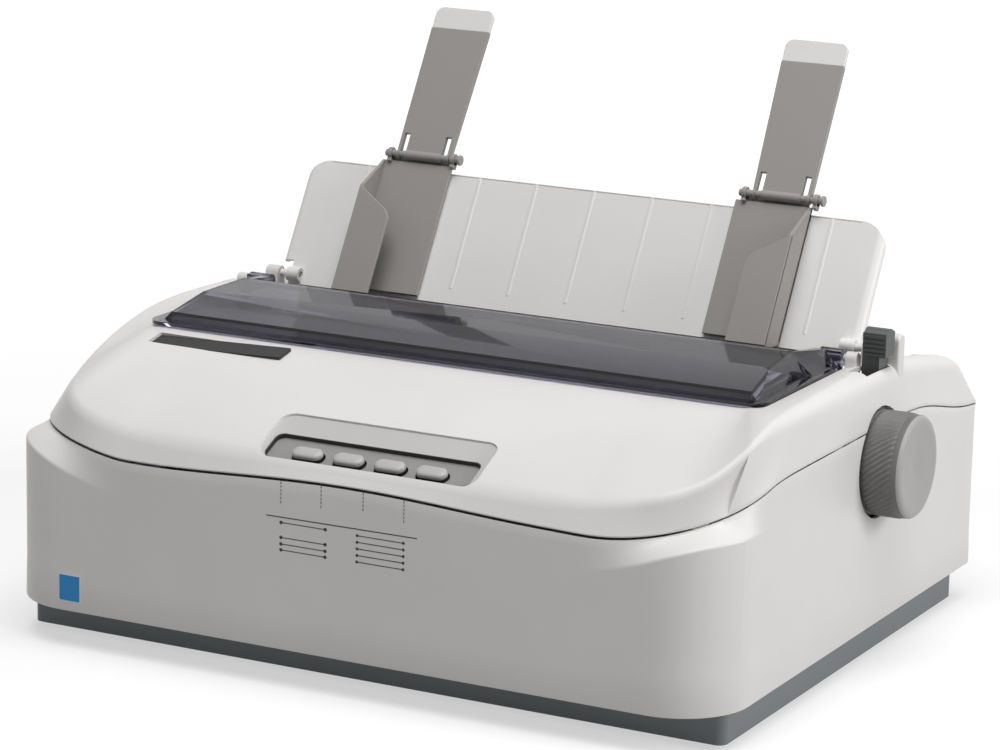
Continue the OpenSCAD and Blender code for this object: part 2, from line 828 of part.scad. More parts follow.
lever_y = 45;
lever_z = 100;
module paper_lever() {
  color(dark)
    difference() {
      union() {
        bar([lever_x0, lever_y - 6, lever_z], [lever_x1, lever_y + 6, lever_top - 2]);
        bar([lever_x0, lever_y - 6, 160.5], [lever_x2, lever_y + 6, lever_top - 2]);
        rod_x(lever_x0, lever_x2, lever_y, lever_top - 6, 6);
        rod_x(lever_x0, lever_x1 - 1, lever_y, lever_z, 7);
        for (i = [0:4])
          bar([lever_x0 + 1, lever_y - 6.7, 161 + i * 2.4], [lever_x2 - 1, lever_y, 162.2 + i * 2.4]);
      }
      rod_x(lever_x0 - 1, lever_x1 + 1, lever_y, lever_z, 3 + run_gap);
    }
}

// ---- platen and feed train ----

frame_x = deck_open - 13;
frame_t = 2;
gear_x0 = -frame_x - 10;
gear_x1 = gear_x0 + 5.5;
platen_teeth = 44;
tidler_teeth = 36;
tractor_teeth = 24;
fidler_teeth = 30;
pinion_teeth = 12;
function pitch_r(n) = gear_m * n / 2;
tidler_y = platen_y + pitch_r(platen_teeth) + pitch_r(tidler_teeth);
tractor_y = tidler_y + pitch_r(tidler_teeth) + pitch_r(tractor_teeth);
fidler_a = -7 * 360 / platen_teeth;
fidler_d = pitch_r(platen_teeth) + pitch_r(fidler_teeth);
fidler_y = platen_y + fidler_d * cos(fidler_a);
fidler_z = platen_z + fidler_d * sin(fidler_a);
fidler_phase = fidler_a + 180 + 180 / fidler_teeth;
pinion_a = fidler_phase - 18 * 360 / fidler_teeth;
pinion_d = pitch_r(fidler_teeth) + pitch_r(pinion_teeth);
pinion_y = fidler_y + pinion_d * cos(pinion_a);
pinion_z = fidler_z + pinion_d * sin(pinion_a);
pinion_phase = pinion_a + 180 + 180 / pinion_teeth;

// Spur gear in the [y, z] plane, with a tooth at the phase angle
module gear(n, phase, bore) {
  r = pitch_r(n);
  tip = r + gear_m * 0.9;
  root = r - gear_m * 1.15;
  half = 90 / n - backlash / 2 / r * 180 / PI;
  difference() {
    polygon([for (i = [0:n - 1], k = [0:3])
      let (a = phase + i * 360 / n, w = [1.45, 0.6, -0.6, -1.45][k] * half,
        q = (k == 0 || k == 3) ? root : tip)
      [q * cos(a - w), q * sin(a - w)]]);
    circle(r = bore, $fn = cyl);
  }
}

module gear_at(n, phase, bore, y, z) {
  translate([gear_x0, y, z])
    rotate([90, 0, 90])
      linear_extrude(gear_x1 - gear_x0)
        gear(n, phase, bore);
}

module platen_knob() {
  x0 = hw - 3.7;
  color(grey)
    difference() {
      union() {
        rod_x(x0, x0 + knob_len - 1.5, platen_y, platen_z, knob_r);
        rod_x(x0 + 1, x0 + knob_len, platen_y, platen_z, knob_r - 1.5);
      }
      rod_x(x0 + knob_len - 1.2, x0 + knob_len + 1, platen_y, platen_z, knob_r - 4);
      rod_x(x0 - 1, x0 + 4, platen_y, platen_z, knob_r - 3);
      rod_x(x0 - 1, x0 + 18, platen_y, platen_z, shaft_r);
    }
}

module platen_shaft() {
  color(steel) {
    rod_x(gear_x0 - 2, hw - 3.7 + 18, platen_y, platen_z, shaft_r);
    rod_x(frame_x + frame_t + 1.4, frame_x + frame_t + 3, platen_y, platen_z, shaft_r + 3);
  }
}

module platen_roller() {
  color(dark)
    difference() {
      rod_x(-platen_len / 2, platen_len / 2, platen_y, platen_z, platen_r);
      rod_x(-platen_len, platen_len, platen_y, platen_z, shaft_r);
    }
}

module platen_bushes() {
  color([0.72, 0.55, 0.3])
    both_sides()
      difference() {
        union() {
          rod_x(frame_x, frame_x + frame_t + 1, platen_y, platen_z, 8);
          rod_x(frame_x - 2, frame_x, platen_y, platen_z, 10);
        }
        rod_x(frame_x - 3, frame_x + 5, platen_y, platen_z, shaft_r + run_gap);
      }
}

module platen_gear() {
  color(pale)
    gear_at(platen_teeth, 0, shaft_r, platen_y, platen_z);
}

module tractor_idler() {
  color(pale)
    gear_at(tidler_teeth, 180 / tidler_teeth, 3 + run_gap, tidler_y, platen_z);
}

module feed_idler() {
  color(pale)
    gear_at(fidler_teeth, fidler_phase, 3 + run_gap, fidler_y, fidler_z);
}

module feed_pinion() {
  color(steel) {
    gear_at(pinion_teeth, pinion_phase, 2.5, pinion_y, pinion_z);
    rod_x(gear_x0, -frame_x + 8, pinion_y, pinion_z, 2.5);
  }
}

module feed_motor() {
  color([0.55, 0.56, 0.58])
    difference() {
      union() {
        rod_x(-frame_x, -frame_x + 22, pinion_y, pinion_z, 21);
        rod_x(-frame_x - frame_t, -frame_x, pinion_y, pinion_z, 5);
      }
      rod_x(-frame_x - 4, -frame_x + 9, pinion_y, pinion_z, 2.5 + run_gap);
    }
}

module tractor_shaft() {
  color(steel)
    rod_x(gear_x0 - 2, frame_x + frame_t + 2, tractor_y, platen_z, 4);
}

module tractor_gear() {
  color(pale)
    gear_at(tractor_teeth, 0, 4, tractor_y, platen_z);
}

trod_y = tractor_y + 24;
module tractor_rod() {
  color(steel)
    rod_x(-frame_x - frame_t, frame_x + frame_t, trod_y, platen_z, 3);
}

// Tractor for the -X side, about its own x position
belt_r = 11;
module racetrack(r) {
  translate([tractor_y, platen_z])
    circle(r = r, $fn = cyl);
  translate([trod_y, platen_z])
    circle(r = r, $fn = cyl);
  translate([tractor_y, platen_z - r])
    square([trod_y - tractor_y, 2 * r]);
}

module tractor_body() {
  ty0 = tractor_y - 13;
  ty1 = trod_y + 13;
  difference() {
    union() {
      bar([-11, ty0, platen_z - 11], [1, ty1, platen_z + 11]);
      side_plate(0, 9)
        racetrack(belt_r - 1.8);
      for (y = [ty0, ty1 - 5])
        bar([-15.5, y, platen_z + 3], [-10, y + 5, platen_z + 16.5]);
      rod_y(ty0, ty1, -13, platen_z + 14, 1.5);
    }
    rod_x(-20, 20, tractor_y, platen_z, 4 + run_gap);
    rod_x(-20, 20, trod_y, platen_z, 3 + run_gap);
  }
}

pin_step = 12.7;
pin_turn = (1.5 * pin_step - (trod_y - tractor_y) / 2) / belt_r * 180 / PI;
module pin_belt() {
  side_plate(1.3, 8.7)
    difference() {
      racetrack(belt_r);
      racetrack(belt_r - 1.6);
    }
  for (i = [-1, 1]) {
    rod_z(platen_z + belt_r - 0.5, platen_z + belt_r + 2.5, 5,
      (tractor_y + trod_y) / 2 + i * pin_step / 2, 1.6);
    translate([5, i < 0 ? tractor_y : trod_y, platen_z])
      rotate([-i * pin_turn, 0, 0])
        rod_z(belt_r - 0.5, belt_r + 2.5, 0, 0, 1.6);
  }
}

module tractor_lid() {
  ty0 = tractor_y - 13;
  ty1 = trod_y + 13;
  difference() {
    union() {
      bar([-12.5, ty0 + 6, platen_z + 15], [10, ty1 - 6, platen_z + 16.8]);
      rod_y(ty0 + 6, ty1 - 6, -13, platen_z + 14, 2.6);
    }
    rod_y(ty0, ty1, -13, platen_z + 14, 1.5 + run_gap);
  }
}

tractor_x = 118;
module left_tractor() {
  color(dark)
    translate([-tractor_x, 0, 0])
      tractor_body();
}

module right_tractor() {
  color(dark)
    mirror([1, 0, 0])
      translate([-tractor_x, 0, 0])
        tractor_body();
}

module left_pin_belt() {
  color(grey)
    translate([-tractor_x, 0, 0])
      pin_belt();
}

module right_pin_belt() {
  color(grey)
    mirror([1, 0, 0])
      translate([-tractor_x, 0, 0])
        pin_belt();
}

module left_tractor_cover() {
  color(dark)
    translate([-tractor_x, 0, 0])
      tractor_lid();
}

module right_tractor_cover() {
  color(dark)
    mirror([1, 0, 0])
      translate([-tractor_x, 0, 0])
        tractor_lid();
}

pinch_r = 5;
pinch_a = -120;
pinch_d = platen_r + pinch_r + 0.35;
pinch_y = platen_y + pinch_d * cos(pinch_a);
pinch_z = platen_z + pinch_d * sin(pinch_a);
module pinch_shaft() {
  color(steel)
    rod_x(-124, 124, pinch_y, pinch_z, 2);
}

module pinch_rollers() {
  color(dark)
    for (x = [-96:48:96])
      difference() {
        rod_x(x - 9, x + 9, pinch_y, pinch_z, pinch_r);
        rod_x(x - 10, x + 10, pinch_y, pinch_z, 2);
      }
}

module pinch_bracket(x) {
  difference() {
    side_plate(x, x + 2)
      polygon([[pinch_y - 12, frame_z + 1.5], [pinch_y + 14, frame_z + 1.5],
        [pinch_y + 4, pinch_z - 4], [pinch_y + 3.4, pinch_z + 1.5], [pinch_y - 3.4, pinch_z + 1.5],
        [pinch_y - 4, pinch_z - 4]]);
    rod_x(x - 1, x + 3, pinch_y, pinch_z, 2 + run_gap);
  }
}

chute_r = platen_r + 2.6;
chute_t = 1.2;
chute_rise = 59.5;
module paper_chute() {
  a0 = -guide_tilt;
  a1 = -100;
  color(steel)
    side_plate(-frame_x, frame_x) {
      translate([platen_y, platen_z])
        intersection() {
          difference() {
            circle(r = chute_r + chute_t, $fn = 96);
            circle(r = chute_r, $fn = 96);
          }
          polygon([[0, 0], [60 * cos(a0), 60 * sin(a0)], [60, -60], [0, -60],
            [60 * cos(a1), 60 * sin(a1)]]);
        }
      translate([platen_y, platen_z])
        rotate(90 - guide_tilt)
          translate([-0.02, -chute_r - chute_t])
            square([chute_rise, chute_t]);
    }
}

// ---- frame ----

module frame_profile() {
  polygon([[-72, frame_z], [72, frame_z], [132, 80], [132, 116], [112, 120], [86, 118], [66, 118],
    [45, 126], [12, 126], [0, 100], [-30, 96], [-72, 96]]);
}

module side_frame_left() {
  color(steel) {
    difference() {
      side_plate(-frame_x - frame_t, -frame_x)
        difference() {
          frame_profile();
          translate([platen_y, platen_z])
            circle(r = 8, $fn = cyl);
          translate([tractor_y, platen_z])
            circle(r = 4 + run_gap, $fn = cyl);
          translate([trod_y, platen_z])
            circle(r = 3, $fn = cyl);
          translate([guide_rod_y, guide_rod_z])
            circle(r = 5, $fn = cyl);
          translate([pinion_y, pinion_z])
            circle(r = 5, $fn = cyl);
        }
    }
    rod_x(gear_x0 - 1.5, -frame_x - 1, tidler_y, platen_z, 3);
    rod_x(gear_x0 - 1.5, -frame_x - 1, fidler_y, fidler_z, 3);
  }
}

module side_frame_right() {
  color(steel) {
    side_plate(frame_x, frame_x + frame_t)
      difference() {
        frame_profile();
        translate([platen_y, platen_z])
          circle(r = 8, $fn = cyl);
        translate([tractor_y, platen_z])
          circle(r = 4 + run_gap, $fn = cyl);
        translate([trod_y, platen_z])
          circle(r = 3, $fn = cyl);
        translate([guide_rod_y, guide_rod_z])
          circle(r = 5, $fn = cyl);
      }
    rod_x(frame_x + 1, lever_x1, lever_y, lever_z, 3);
    rod_x(frame_x + 1, lever_x0 - 0.5, lever_y, lever_z, 5);
  }
}

rail_y = -61;
module frame_base() {
  color(steel)
    difference() {
      bar([-frame_x, -72, frame_z], [frame_x, 72, frame_z + 1.5]);
      for (x = [-post_x, post_x], y = [-post_y, post_y])
        rod_z(frame_z - 1, frame_z + 3, x, y, 1.9);
    }
  color(steel) {
    // Front rail for the carriage, on legs bent up from the base
    bar([-frame_x, rail_y, 60], [frame_x, rail_y + 1.5, 82]);
    for (x = [-frame_x, -4, frame_x - 8])
      bar([x, rail_y, frame_z + 1], [x + 8, rail_y + 1.5, 61]);
    pinch_bracket(-121);
    pinch_bracket(119);
    // Post of the belt's idler pulley
    rod_z(frame_z + 1, belt_z0 - 2, -pulley_x, pulley_y, 6);
    rod_z(belt_z0 - 3, belt_z0 + belt_h + 3, -pulley_x, pulley_y, 2.5);
  }
}

module guide_rod() {
  color(steel)
    rod_x(-frame_x - frame_t, frame_x + frame_t, guide_rod_y, guide_rod_z, 5);
}

pulley_y = -46.5;
pulley_x = frame_x - 26;
pulley_r = 6;
belt_z0 = 66;
belt_h = 6;
belt_t = 1.2;
belt_gap = 0.1;
strand_y = pulley_y + pulley_r + belt_gap;
module carriage() {
  color(dark)
    translate([carriage_x, 0, 0])
      difference() {
        union() {
          bar([-24, -34, 75], [24, -6, 96]);
          bar([-12, -65, 84], [12, -34, 90]);
          bar([-12, -65, 78], [12, -56, 86]);
          bar([-6, strand_y - 2, 64.5], [6, strand_y + belt_t + 2, 86]);
          bar([-6, strand_y - 2, 79], [6, -30, 86]);
        }
        rod_x(-30, 30, guide_rod_y, guide_rod_z, 5 + run_gap);
        bar([-20, rail_y - 0.6, 70], [20, rail_y + 2.1, 82.8]);
        bar([-10, strand_y - 0.4, 60], [10, strand_y + belt_t + 0.4, belt_z0 + belt_h + 0.5]);
        bar([-14, -24, 74], [14, -12, 77]);
      }
}

module print_head() {
  color([0.35, 0.36, 0.38])
    translate([carriage_x, 0, 0]) {
      bar([-15, -30, 96], [15, -7, 124]);
      for (i = [0:5])
        bar([-17, -30 + i * 4.2, 97], [17, -28.4 + i * 4.2, 123]);
      hull() {
        bar([-12, -8, 99], [12, -7, 119]);
        bar([-3.5, 7, 103], [3.5, 10.3, 113]);
      }
    }
}

module belt_shape(r) {
  for (x = [-pulley_x, pulley_x])
    translate([x, pulley_y])
      circle(r = r, $fn = 64);
  translate([-pulley_x, pulley_y - r])
    square([2 * pulley_x, 2 * r]);
}

module drive_belt() {
  color([0.1, 0.1, 0.1])
    translate([0, 0, belt_z0])
      linear_extrude(belt_h)
        difference() {
          belt_shape(pulley_r + belt_gap + belt_t);
          belt_shape(pulley_r + belt_gap);
        }
}

module pulley(x) {
  difference() {
    union() {
      rod_z(belt_z0 - 0.6, belt_z0 + belt_h + 0.6, x, pulley_y, pulley_r);
      rod_z(belt_z0 - 1.6, belt_z0 - 0.6, x, pulley_y, pulley_r + 2);
      rod_z(belt_z0 + belt_h + 0.6, belt_z0 + belt_h + 1.6, x, pulley_y, pulley_r + 2);
    }
    rod_z(60, 80, x, pulley_y, 2.5 + (x < 0 ? run_gap : 0));
  }
}

module drive_pulley() {
  color(steel) {
    pulley(pulley_x);
    rod_z(50, belt_z0 + belt_h + 3, pulley_x, pulley_y, 2.5);
  }
}

module carriage_motor() {
  color([0.55, 0.56, 0.58])
    difference() {
      union() {
        rod_z(frame_z + 1.5, 58, pulley_x, pulley_y, 21);
        rod_z(58, 61, pulley_x, pulley_y, 8);
      }
      rod_z(49, 62, pulley_x, pulley_y, 2.5 + run_gap);
    }
}

module idler_pulley() {
  color(pale)
    pulley(-pulley_x);
}

cart_y0 = -66;
cart_y1 = -44;
cart_x = frame_x - 20;
rknob_x = -120;
module ribbon_cartridge() {
  color(dark)
    difference() {
      union() {
        translate([0, 0, 100])
          linear_extrude(18)
            union() {
              round_plate(-cart_x, cart_y0, cart_x, cart_y1, 5);
              for (x = [-cart_x, cart_x - 8])
                translate([x, cart_y1 - 4])
                  square([8, 16 - cart_y1]);
            }
        for (x = [-frame_x - 2, cart_x - 6])
          bar([x, -62, 96], [x + 28, -50, 101]);
      }
      rod_z(108, 130, rknob_x, -55, 4 + run_gap);
      for (x = [-cart_x - 4, cart_x - 10])
        bar([x, 10.6, 99], [x + 14, 11.8, 115]);
    }
}

module ribbon() {
  color([0.04, 0.04, 0.05])
    bar([-cart_x, 11, 101], [cart_x, 11.4, 114]);
}

module ribbon_knob() {
  color(grey) {
    rod_z(109, 118.4, rknob_x, -55, 4);
    rod_z(118.4, 122, rknob_x, -55, 8);
    for (a = [0:45:315])
      translate([rknob_x + 8 * cos(a), -55 + 8 * sin(a), 118.4])
        cylinder(h = 3.6, r = 1, $fn = 16);
  }
}

// ---- electrics ----

board_x1 = boss_x - 9;
board_x0 = board_x1 - 158;
board_y0 = 84;
board_y1 = pan_y1 - 12;
board_z = 12;
board_gap = 5;
module panel_board() {
  color([0.12, 0.35, 0.2])
    on_panel() {
      translate([0, 0, -panel_t - board_gap - 1.6])
        linear_extrude(1.6)
          round_plate(win_x0, -win_y + 2, win_x1, win_y + 6, 2);
      for (x = [win_x0 + 4, win_x1 - 4])
        rod_z(-panel_t - board_gap, -panel_t, x, win_y, 2.5);
      for (i = [0:3])
        translate([button_x0 + i * button_step, button_y, -panel_t - board_gap])
          translate([-3, -3, 0])
            cube([6, 6, 1.8]);
    }
}

module circuit_boards() {
  panel_board();
  z = board_z + 1.6;
  color([0.1, 0.32, 0.18]) {
    bar([board_x0, board_y0, board_z], [board_x1, board_y1, z]);
    // Processor, memory, driver chip, smoothing capacitors and relays
    bar([board_x0 + 30, board_y0 + 14, z], [board_x0 + 58, board_y0 + 40, z + 3]);
    bar([board_x0 + 72, board_y0 + 12, z], [board_x0 + 112, board_y0 + 22, z + 4]);
    bar([board_x0 + 72, board_y0 + 28, z], [board_x0 + 98, board_y0 + 38, z + 3]);
    for (i = [0:3])
      rod_z(z, z + 16, board_x1 - 36 + i * 10, board_y0 + 12, 4);
    for (i = [0:1])
      bar([board_x0 + 8, board_y0 + 8 + i * 16, z], [board_x0 + 22, board_y0 + 20 + i * 16, z + 9]);
  }
}

// Transformer in the bay between the mechanism's base and the case's rear ledge
trafo_x = -112;
trafo_y0 = 74;
trafo_y1 = pan_y1 - 20;
module transformer() {
  color([0.4, 0.4, 0.42]) {
    bar([trafo_x - 28, trafo_y0 + 4, pan_floor], [trafo_x + 28, trafo_y1 - 4, pan_floor + 4]);
    bar([trafo_x - 24, trafo_y0 + 8, pan_floor + 4], [trafo_x + 24, trafo_y1 - 8, 50]);
  }
  color([0.65, 0.5, 0.2])
    bar([trafo_x - 18, trafo_y0, 16], [trafo_x + 18, trafo_y1, 42]);
}

module power_inlet() {
  color([0.06, 0.06, 0.06])
    difference() {
      union() {
        bar([inlet_x - 13.5, hd - 22, inlet_z - 9.75], [inlet_x + 13.5, hd + 1.5, inlet_z + 9.75]);
        bar([inlet_x - 16, hd, inlet_z - 12.5], [inlet_x + 16, hd + 1.5, inlet_z + 12.5]);
      }
      bar([inlet_x - 11.5, hd - 14, inlet_z - 7.5], [inlet_x + 11.5, hd + 4, inlet_z + 7.5]);
    }
  color(steel)
    for (p = [[-7, -1.5], [0, 2.5], [7, -1.5]])
      bar([inlet_x + p[0] - 1, hd - 16, inlet_z + p[1] - 2],
        [inlet_x + p[0] + 1, hd - 3, inlet_z + p[1] + 2]);
}

module switch_frame() {
  color([0.06, 0.06, 0.06])
    difference() {
      union() {
        bar([switch_x - 10, hd - 18, inlet_z - 6.5], [switch_x + 10, hd + 1.5, inlet_z + 6.5]);
        bar([switch_x - 12.5, hd, inlet_z - 8.5], [switch_x + 12.5, hd + 1.5, inlet_z + 8.5]);
      }
      bar([switch_x - 8.6, hd - 12, inlet_z - 5], [switch_x + 8.6, hd + 4, inlet_z + 5]);
    }
  color(steel)
    rod_z(inlet_z - 6, inlet_z + 6, switch_x, hd - 4, 1.2);
}

module power_switch() {
  color([0.1, 0.1, 0.1])
    difference() {
      translate([0, 0, inlet_z - 4.6])
        linear_extrude(9.2)
          polygon([[switch_x - 6.6, hd - 1.5], [switch_x - 6.6, hd + 0.8], [switch_x, hd + 1],
            [switch_x + 6.6, hd + 3], [switch_x + 6.6, hd - 1], [switch_x + 3, hd - 7],
            [switch_x - 3, hd - 7]]);
      rod_z(inlet_z - 8, inlet_z + 8, switch_x, hd - 4, 1.2 + run_gap);
    }
}

module rear_ports() {
  color([0.06, 0.06, 0.06])
    difference() {
      union() {
        bar([parallel_x - 28, hd - 24, port_z - 6.5], [parallel_x + 28, hd + 1.5, port_z + 6.5]);
        bar([parallel_x - 36, hd, port_z - 8], [parallel_x + 36, hd + 1.5, port_z + 8]);
      }
      difference() {
        bar([parallel_x - 25, hd - 6, port_z - 4.5], [parallel_x + 25, hd + 4, port_z + 4.5]);
        bar([parallel_x - 23, hd - 7, port_z - 1.5], [parallel_x + 23, hd + 0.5, port_z + 1.5]);
      }
    }
  color([0.06, 0.06, 0.06])
    difference() {
      union() {
        bar([usb_x - 6.5, hd - 18, port_z - 6], [usb_x + 6.5, hd + 1, port_z + 6]);
        bar([usb_x - 8, hd, port_z - 7.5], [usb_x + 8, hd + 1, port_z + 7.5]);
      }
      difference() {
        bar([usb_x - 4.2, hd - 9, port_z - 4], [usb_x + 4.2, hd + 4, port_z + 4]);
        bar([usb_x - 2.6, hd - 10, port_z - 1.4], [usb_x + 2.6, hd - 0.5, port_z + 1.6]);
      }
    }
}

module screws() {
  color(steel) {
    for (x = [-post_x, post_x], y = [-post_y, post_y]) {
      rod_z(frame_z + 1.5, frame_z + 4, x, y, 4);
      rod_z(frame_z - 6, frame_z + 1.5, x, y, 1.75);
    }
    for (x = [-boss_x, boss_x], y = [boss_y0, boss_y1]) {
      rod_z(foot_h, foot_h + 1.5, x, y, 3.6);
      rod_z(foot_h + 1.5, case_z - 6, x, y, 1.5);
    }
  }
}

base_pan();
feet();
lower_case();
upper_case();
smoked_cover();
sheet_guide();
left_edge_guide();
right_edge_guide();
left_arm();
right_arm();
control_panel();
button_1();
button_2();
button_3();
button_4();
name_plate();
front_label();
paper_lever();
platen_knob();
platen_shaft();
platen_roller();
platen_bushes();
platen_gear();
tractor_idler();
tractor_shaft();
tractor_gear();
tractor_rod();
left_tractor();
right_tractor();
left_pin_belt();
right_pin_belt();
left_tractor_cover();
right_tractor_cover();
feed_idler();
feed_pinion();
feed_motor();
pinch_shaft();
pinch_rollers();
paper_chute();
side_frame_left();
side_frame_right();
frame_base();
guide_rod();
carriage();
print_head();
drive_belt();
drive_pulley();
carriage_motor();
idler_pulley();
ribbon_cartridge();
ribbon();
ribbon_knob();
circuit_boards();
transformer();
power_inlet();
power_switch();
switch_frame();
rear_ports();
screws();
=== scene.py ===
"""Dot matrix printer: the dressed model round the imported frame."""

import copy
import math

import bmesh
import bpy
from mathutils import Matrix, Vector


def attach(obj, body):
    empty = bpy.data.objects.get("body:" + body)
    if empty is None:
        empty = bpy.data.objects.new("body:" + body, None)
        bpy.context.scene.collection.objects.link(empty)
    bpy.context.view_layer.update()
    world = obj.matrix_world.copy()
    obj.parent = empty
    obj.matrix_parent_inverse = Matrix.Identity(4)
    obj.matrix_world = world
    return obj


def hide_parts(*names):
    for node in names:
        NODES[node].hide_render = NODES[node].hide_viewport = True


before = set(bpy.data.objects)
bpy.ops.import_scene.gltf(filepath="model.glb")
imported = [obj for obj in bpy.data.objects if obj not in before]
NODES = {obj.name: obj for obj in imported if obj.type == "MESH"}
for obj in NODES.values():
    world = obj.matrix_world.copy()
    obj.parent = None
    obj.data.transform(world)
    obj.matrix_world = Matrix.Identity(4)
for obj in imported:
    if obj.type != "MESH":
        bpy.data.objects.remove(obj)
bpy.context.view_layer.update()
MM = 0.001

# ---------------- camera and light

# Metres
EYE = (0.91783, -1.76842, 0.60317)
PAN, TILT, ROLL = math.radians(27.45), math.radians(13.26), math.radians(-1.19)
LENS, SENSOR = 138.02, 36
# Soft lamps: place, aim, size, watts
LAMPS = {"high_soft": ((0.23, -0.46, 2.3), (0, 0, 0.1), 1.6, 40),
         "right_soft": ((2.4, 0.3, 1.0), (0.1, 0, 0.1), 1.2, 28)}
ROOM_LIGHT, FLOOR_GREY, FLOOR_HALF = 0.2, 0.5, 6.0
# Near and far distance from the floor's middle, and how much light of its own it adds there
LIFT_FROM, LIFT_TO = (0.4, 2.0), (0.55, 1.0)


def add_object(name, data):
    """Object in the scene with its mesh, lens or lamp."""
    made = bpy.data.objects.new(name, data)
    bpy.context.collection.objects.link(made)
    return made


def add_camera():
    """Long lens from the front right, a little above the cover."""
    ahead = Vector((-math.sin(PAN) * math.cos(TILT), math.cos(PAN) * math.cos(TILT),
                    -math.sin(TILT)))
    level = Vector((math.cos(PAN), math.sin(PAN), 0))
    down = ahead.cross(level)
    right = level * math.cos(ROLL) + down * math.sin(ROLL)
    low = down * math.cos(ROLL) - level * math.sin(ROLL)
    lens = bpy.data.cameras.new("camera")
    lens.lens = LENS
    lens.sensor_width = SENSOR
    lens.clip_start = 0.05
    lens.clip_end = 30
    camera = add_object("camera", lens)
    facing = Matrix((right, -low, -ahead)).transposed().to_4x4()
    camera.matrix_world = Matrix.Translation(EYE) @ facing
    bpy.context.scene.camera = camera


def add_lamp(name, place, aim, size, watts):
    """Soft square lamp at place that points to aim."""
    data = bpy.data.lights.new(name, "AREA")
    data.shape = "SQUARE"
    data.size = size
    data.energy = watts
    lamp = add_object(name, data)
    lamp.location = place
    lamp.rotation_euler = (Vector(aim) - Vector(place)).to_track_quat("-Z", "Y").to_euler()


def empty_tree(owner):
    """Nodes and links of a material or world, cleared."""
    owner.use_nodes = True
    owner.node_tree.nodes.clear()
    return owner.node_tree.nodes, owner.node_tree.links


def add_node(nodes, kind, values=None, **settings):
    """New shader node with its settings and the values of its inputs."""
    made = nodes.new("ShaderNode" + kind)
    for key, value in settings.items():
        setattr(made, key, value)
    for key, value in (values or {}).items():
        made.inputs[key].default_value = value
    return made


def link_all(links, rows):
    """Links from rows of an output, or a node's first one, to a node's input by its name."""
    for source, node, label in rows:
        output = source.outputs[0] if hasattr(source, "outputs") else source
        links.new(output, node.inputs[label])


def shown_share(nodes, links):
    """1 where a ray comes from the camera, a mirror or glass, else 0."""
    path = add_node(nodes, "LightPath")
    share = path.outputs["Is Camera Ray"]
    for kind in ("Is Transmission Ray", "Is Glossy Ray"):
        most = add_node(nodes, "Math", operation="MAXIMUM")
        link_all(links, ((share, most, 0), (path.outputs[kind], most, 1)))
        share = most.outputs[0]
    return share


def build_room():
    """White room that lights softly."""
    world = bpy.data.worlds.new("room")
    bpy.context.scene.world = world
    nodes, links = empty_tree(world)
    soft = add_node(nodes, "Background", {"Strength": ROOM_LIGHT})
    white = add_node(nodes, "Background", {"Strength": 1.0})
    mix = add_node(nodes, "MixShader")
    out = add_node(nodes, "OutputWorld")
    link_all(links, ((shown_share(nodes, links), mix, 0), (soft, mix, 1),
                     (white, mix, 2), (mix, out, 0)))


def build_floor():
    """Pale floor that keeps the shadow near the printer and turns white far from it."""
    mesh = bpy.data.meshes.new("floor")
    half = FLOOR_HALF
    mesh.from_pydata([(-half, -half, 0), (half, -half, 0), (half, half, 0), (-half, half, 0)],
                     [], [(0, 1, 2, 3)])
    floor = add_object("floor", mesh)
    material = bpy.data.materials.new("floor_white")
    nodes, links = empty_tree(material)
    matte = add_node(nodes, "BsdfDiffuse", {"Color": (FLOOR_GREY, FLOOR_GREY, FLOOR_GREY, 1)})
    glow = add_node(nodes, "Emission", {"Color": (1, 1, 1, 1)})
    gain = add_node(nodes, "Math", operation="MULTIPLY")
    place = add_node(nodes, "TexCoord")
    reach = add_node(nodes, "VectorMath", operation="LENGTH")
    lift = add_node(nodes, "MapRange", {"From Min": LIFT_FROM[0], "From Max": LIFT_FROM[1],
                                        "To Min": LIFT_TO[0], "To Max": LIFT_TO[1]})
    add = add_node(nodes, "AddShader")
    out = add_node(nodes, "OutputMaterial")
    link_all(links, ((place.outputs["Object"], reach, 0), (reach.outputs["Value"], lift, "Value"),
                     (lift, gain, 1), (shown_share(nodes, links), gain, 0),
                     (gain, glow, "Strength"), (matte, add, 0),
                     (glow, add, 1), (add, out, 0)))
    floor.data.materials.append(material)


# ---------------- finishes


def finish_group(name, inputs):
    """Node group with its named inputs and the three outputs of a finish."""
    group = bpy.data.node_groups.new(name, "ShaderNodeTree")
    for label, kind, value in inputs:
        made = group.interface.new_socket(name=label, in_out="INPUT",
                                          socket_type="NodeSocket" + kind)
        made.default_value = value
    for label, kind in (("Colour", "Color"), ("Roughness", "Float"), ("Normal", "Vector")):
        group.interface.new_socket(name=label, in_out="OUTPUT", socket_type="NodeSocket" + kind)
    nodes = group.nodes
    came, out = nodes.new("NodeGroupInput"), nodes.new("NodeGroupOutput")
    return group, nodes, came.outputs, out, add_node(nodes, "TexCoord").outputs["Object"]


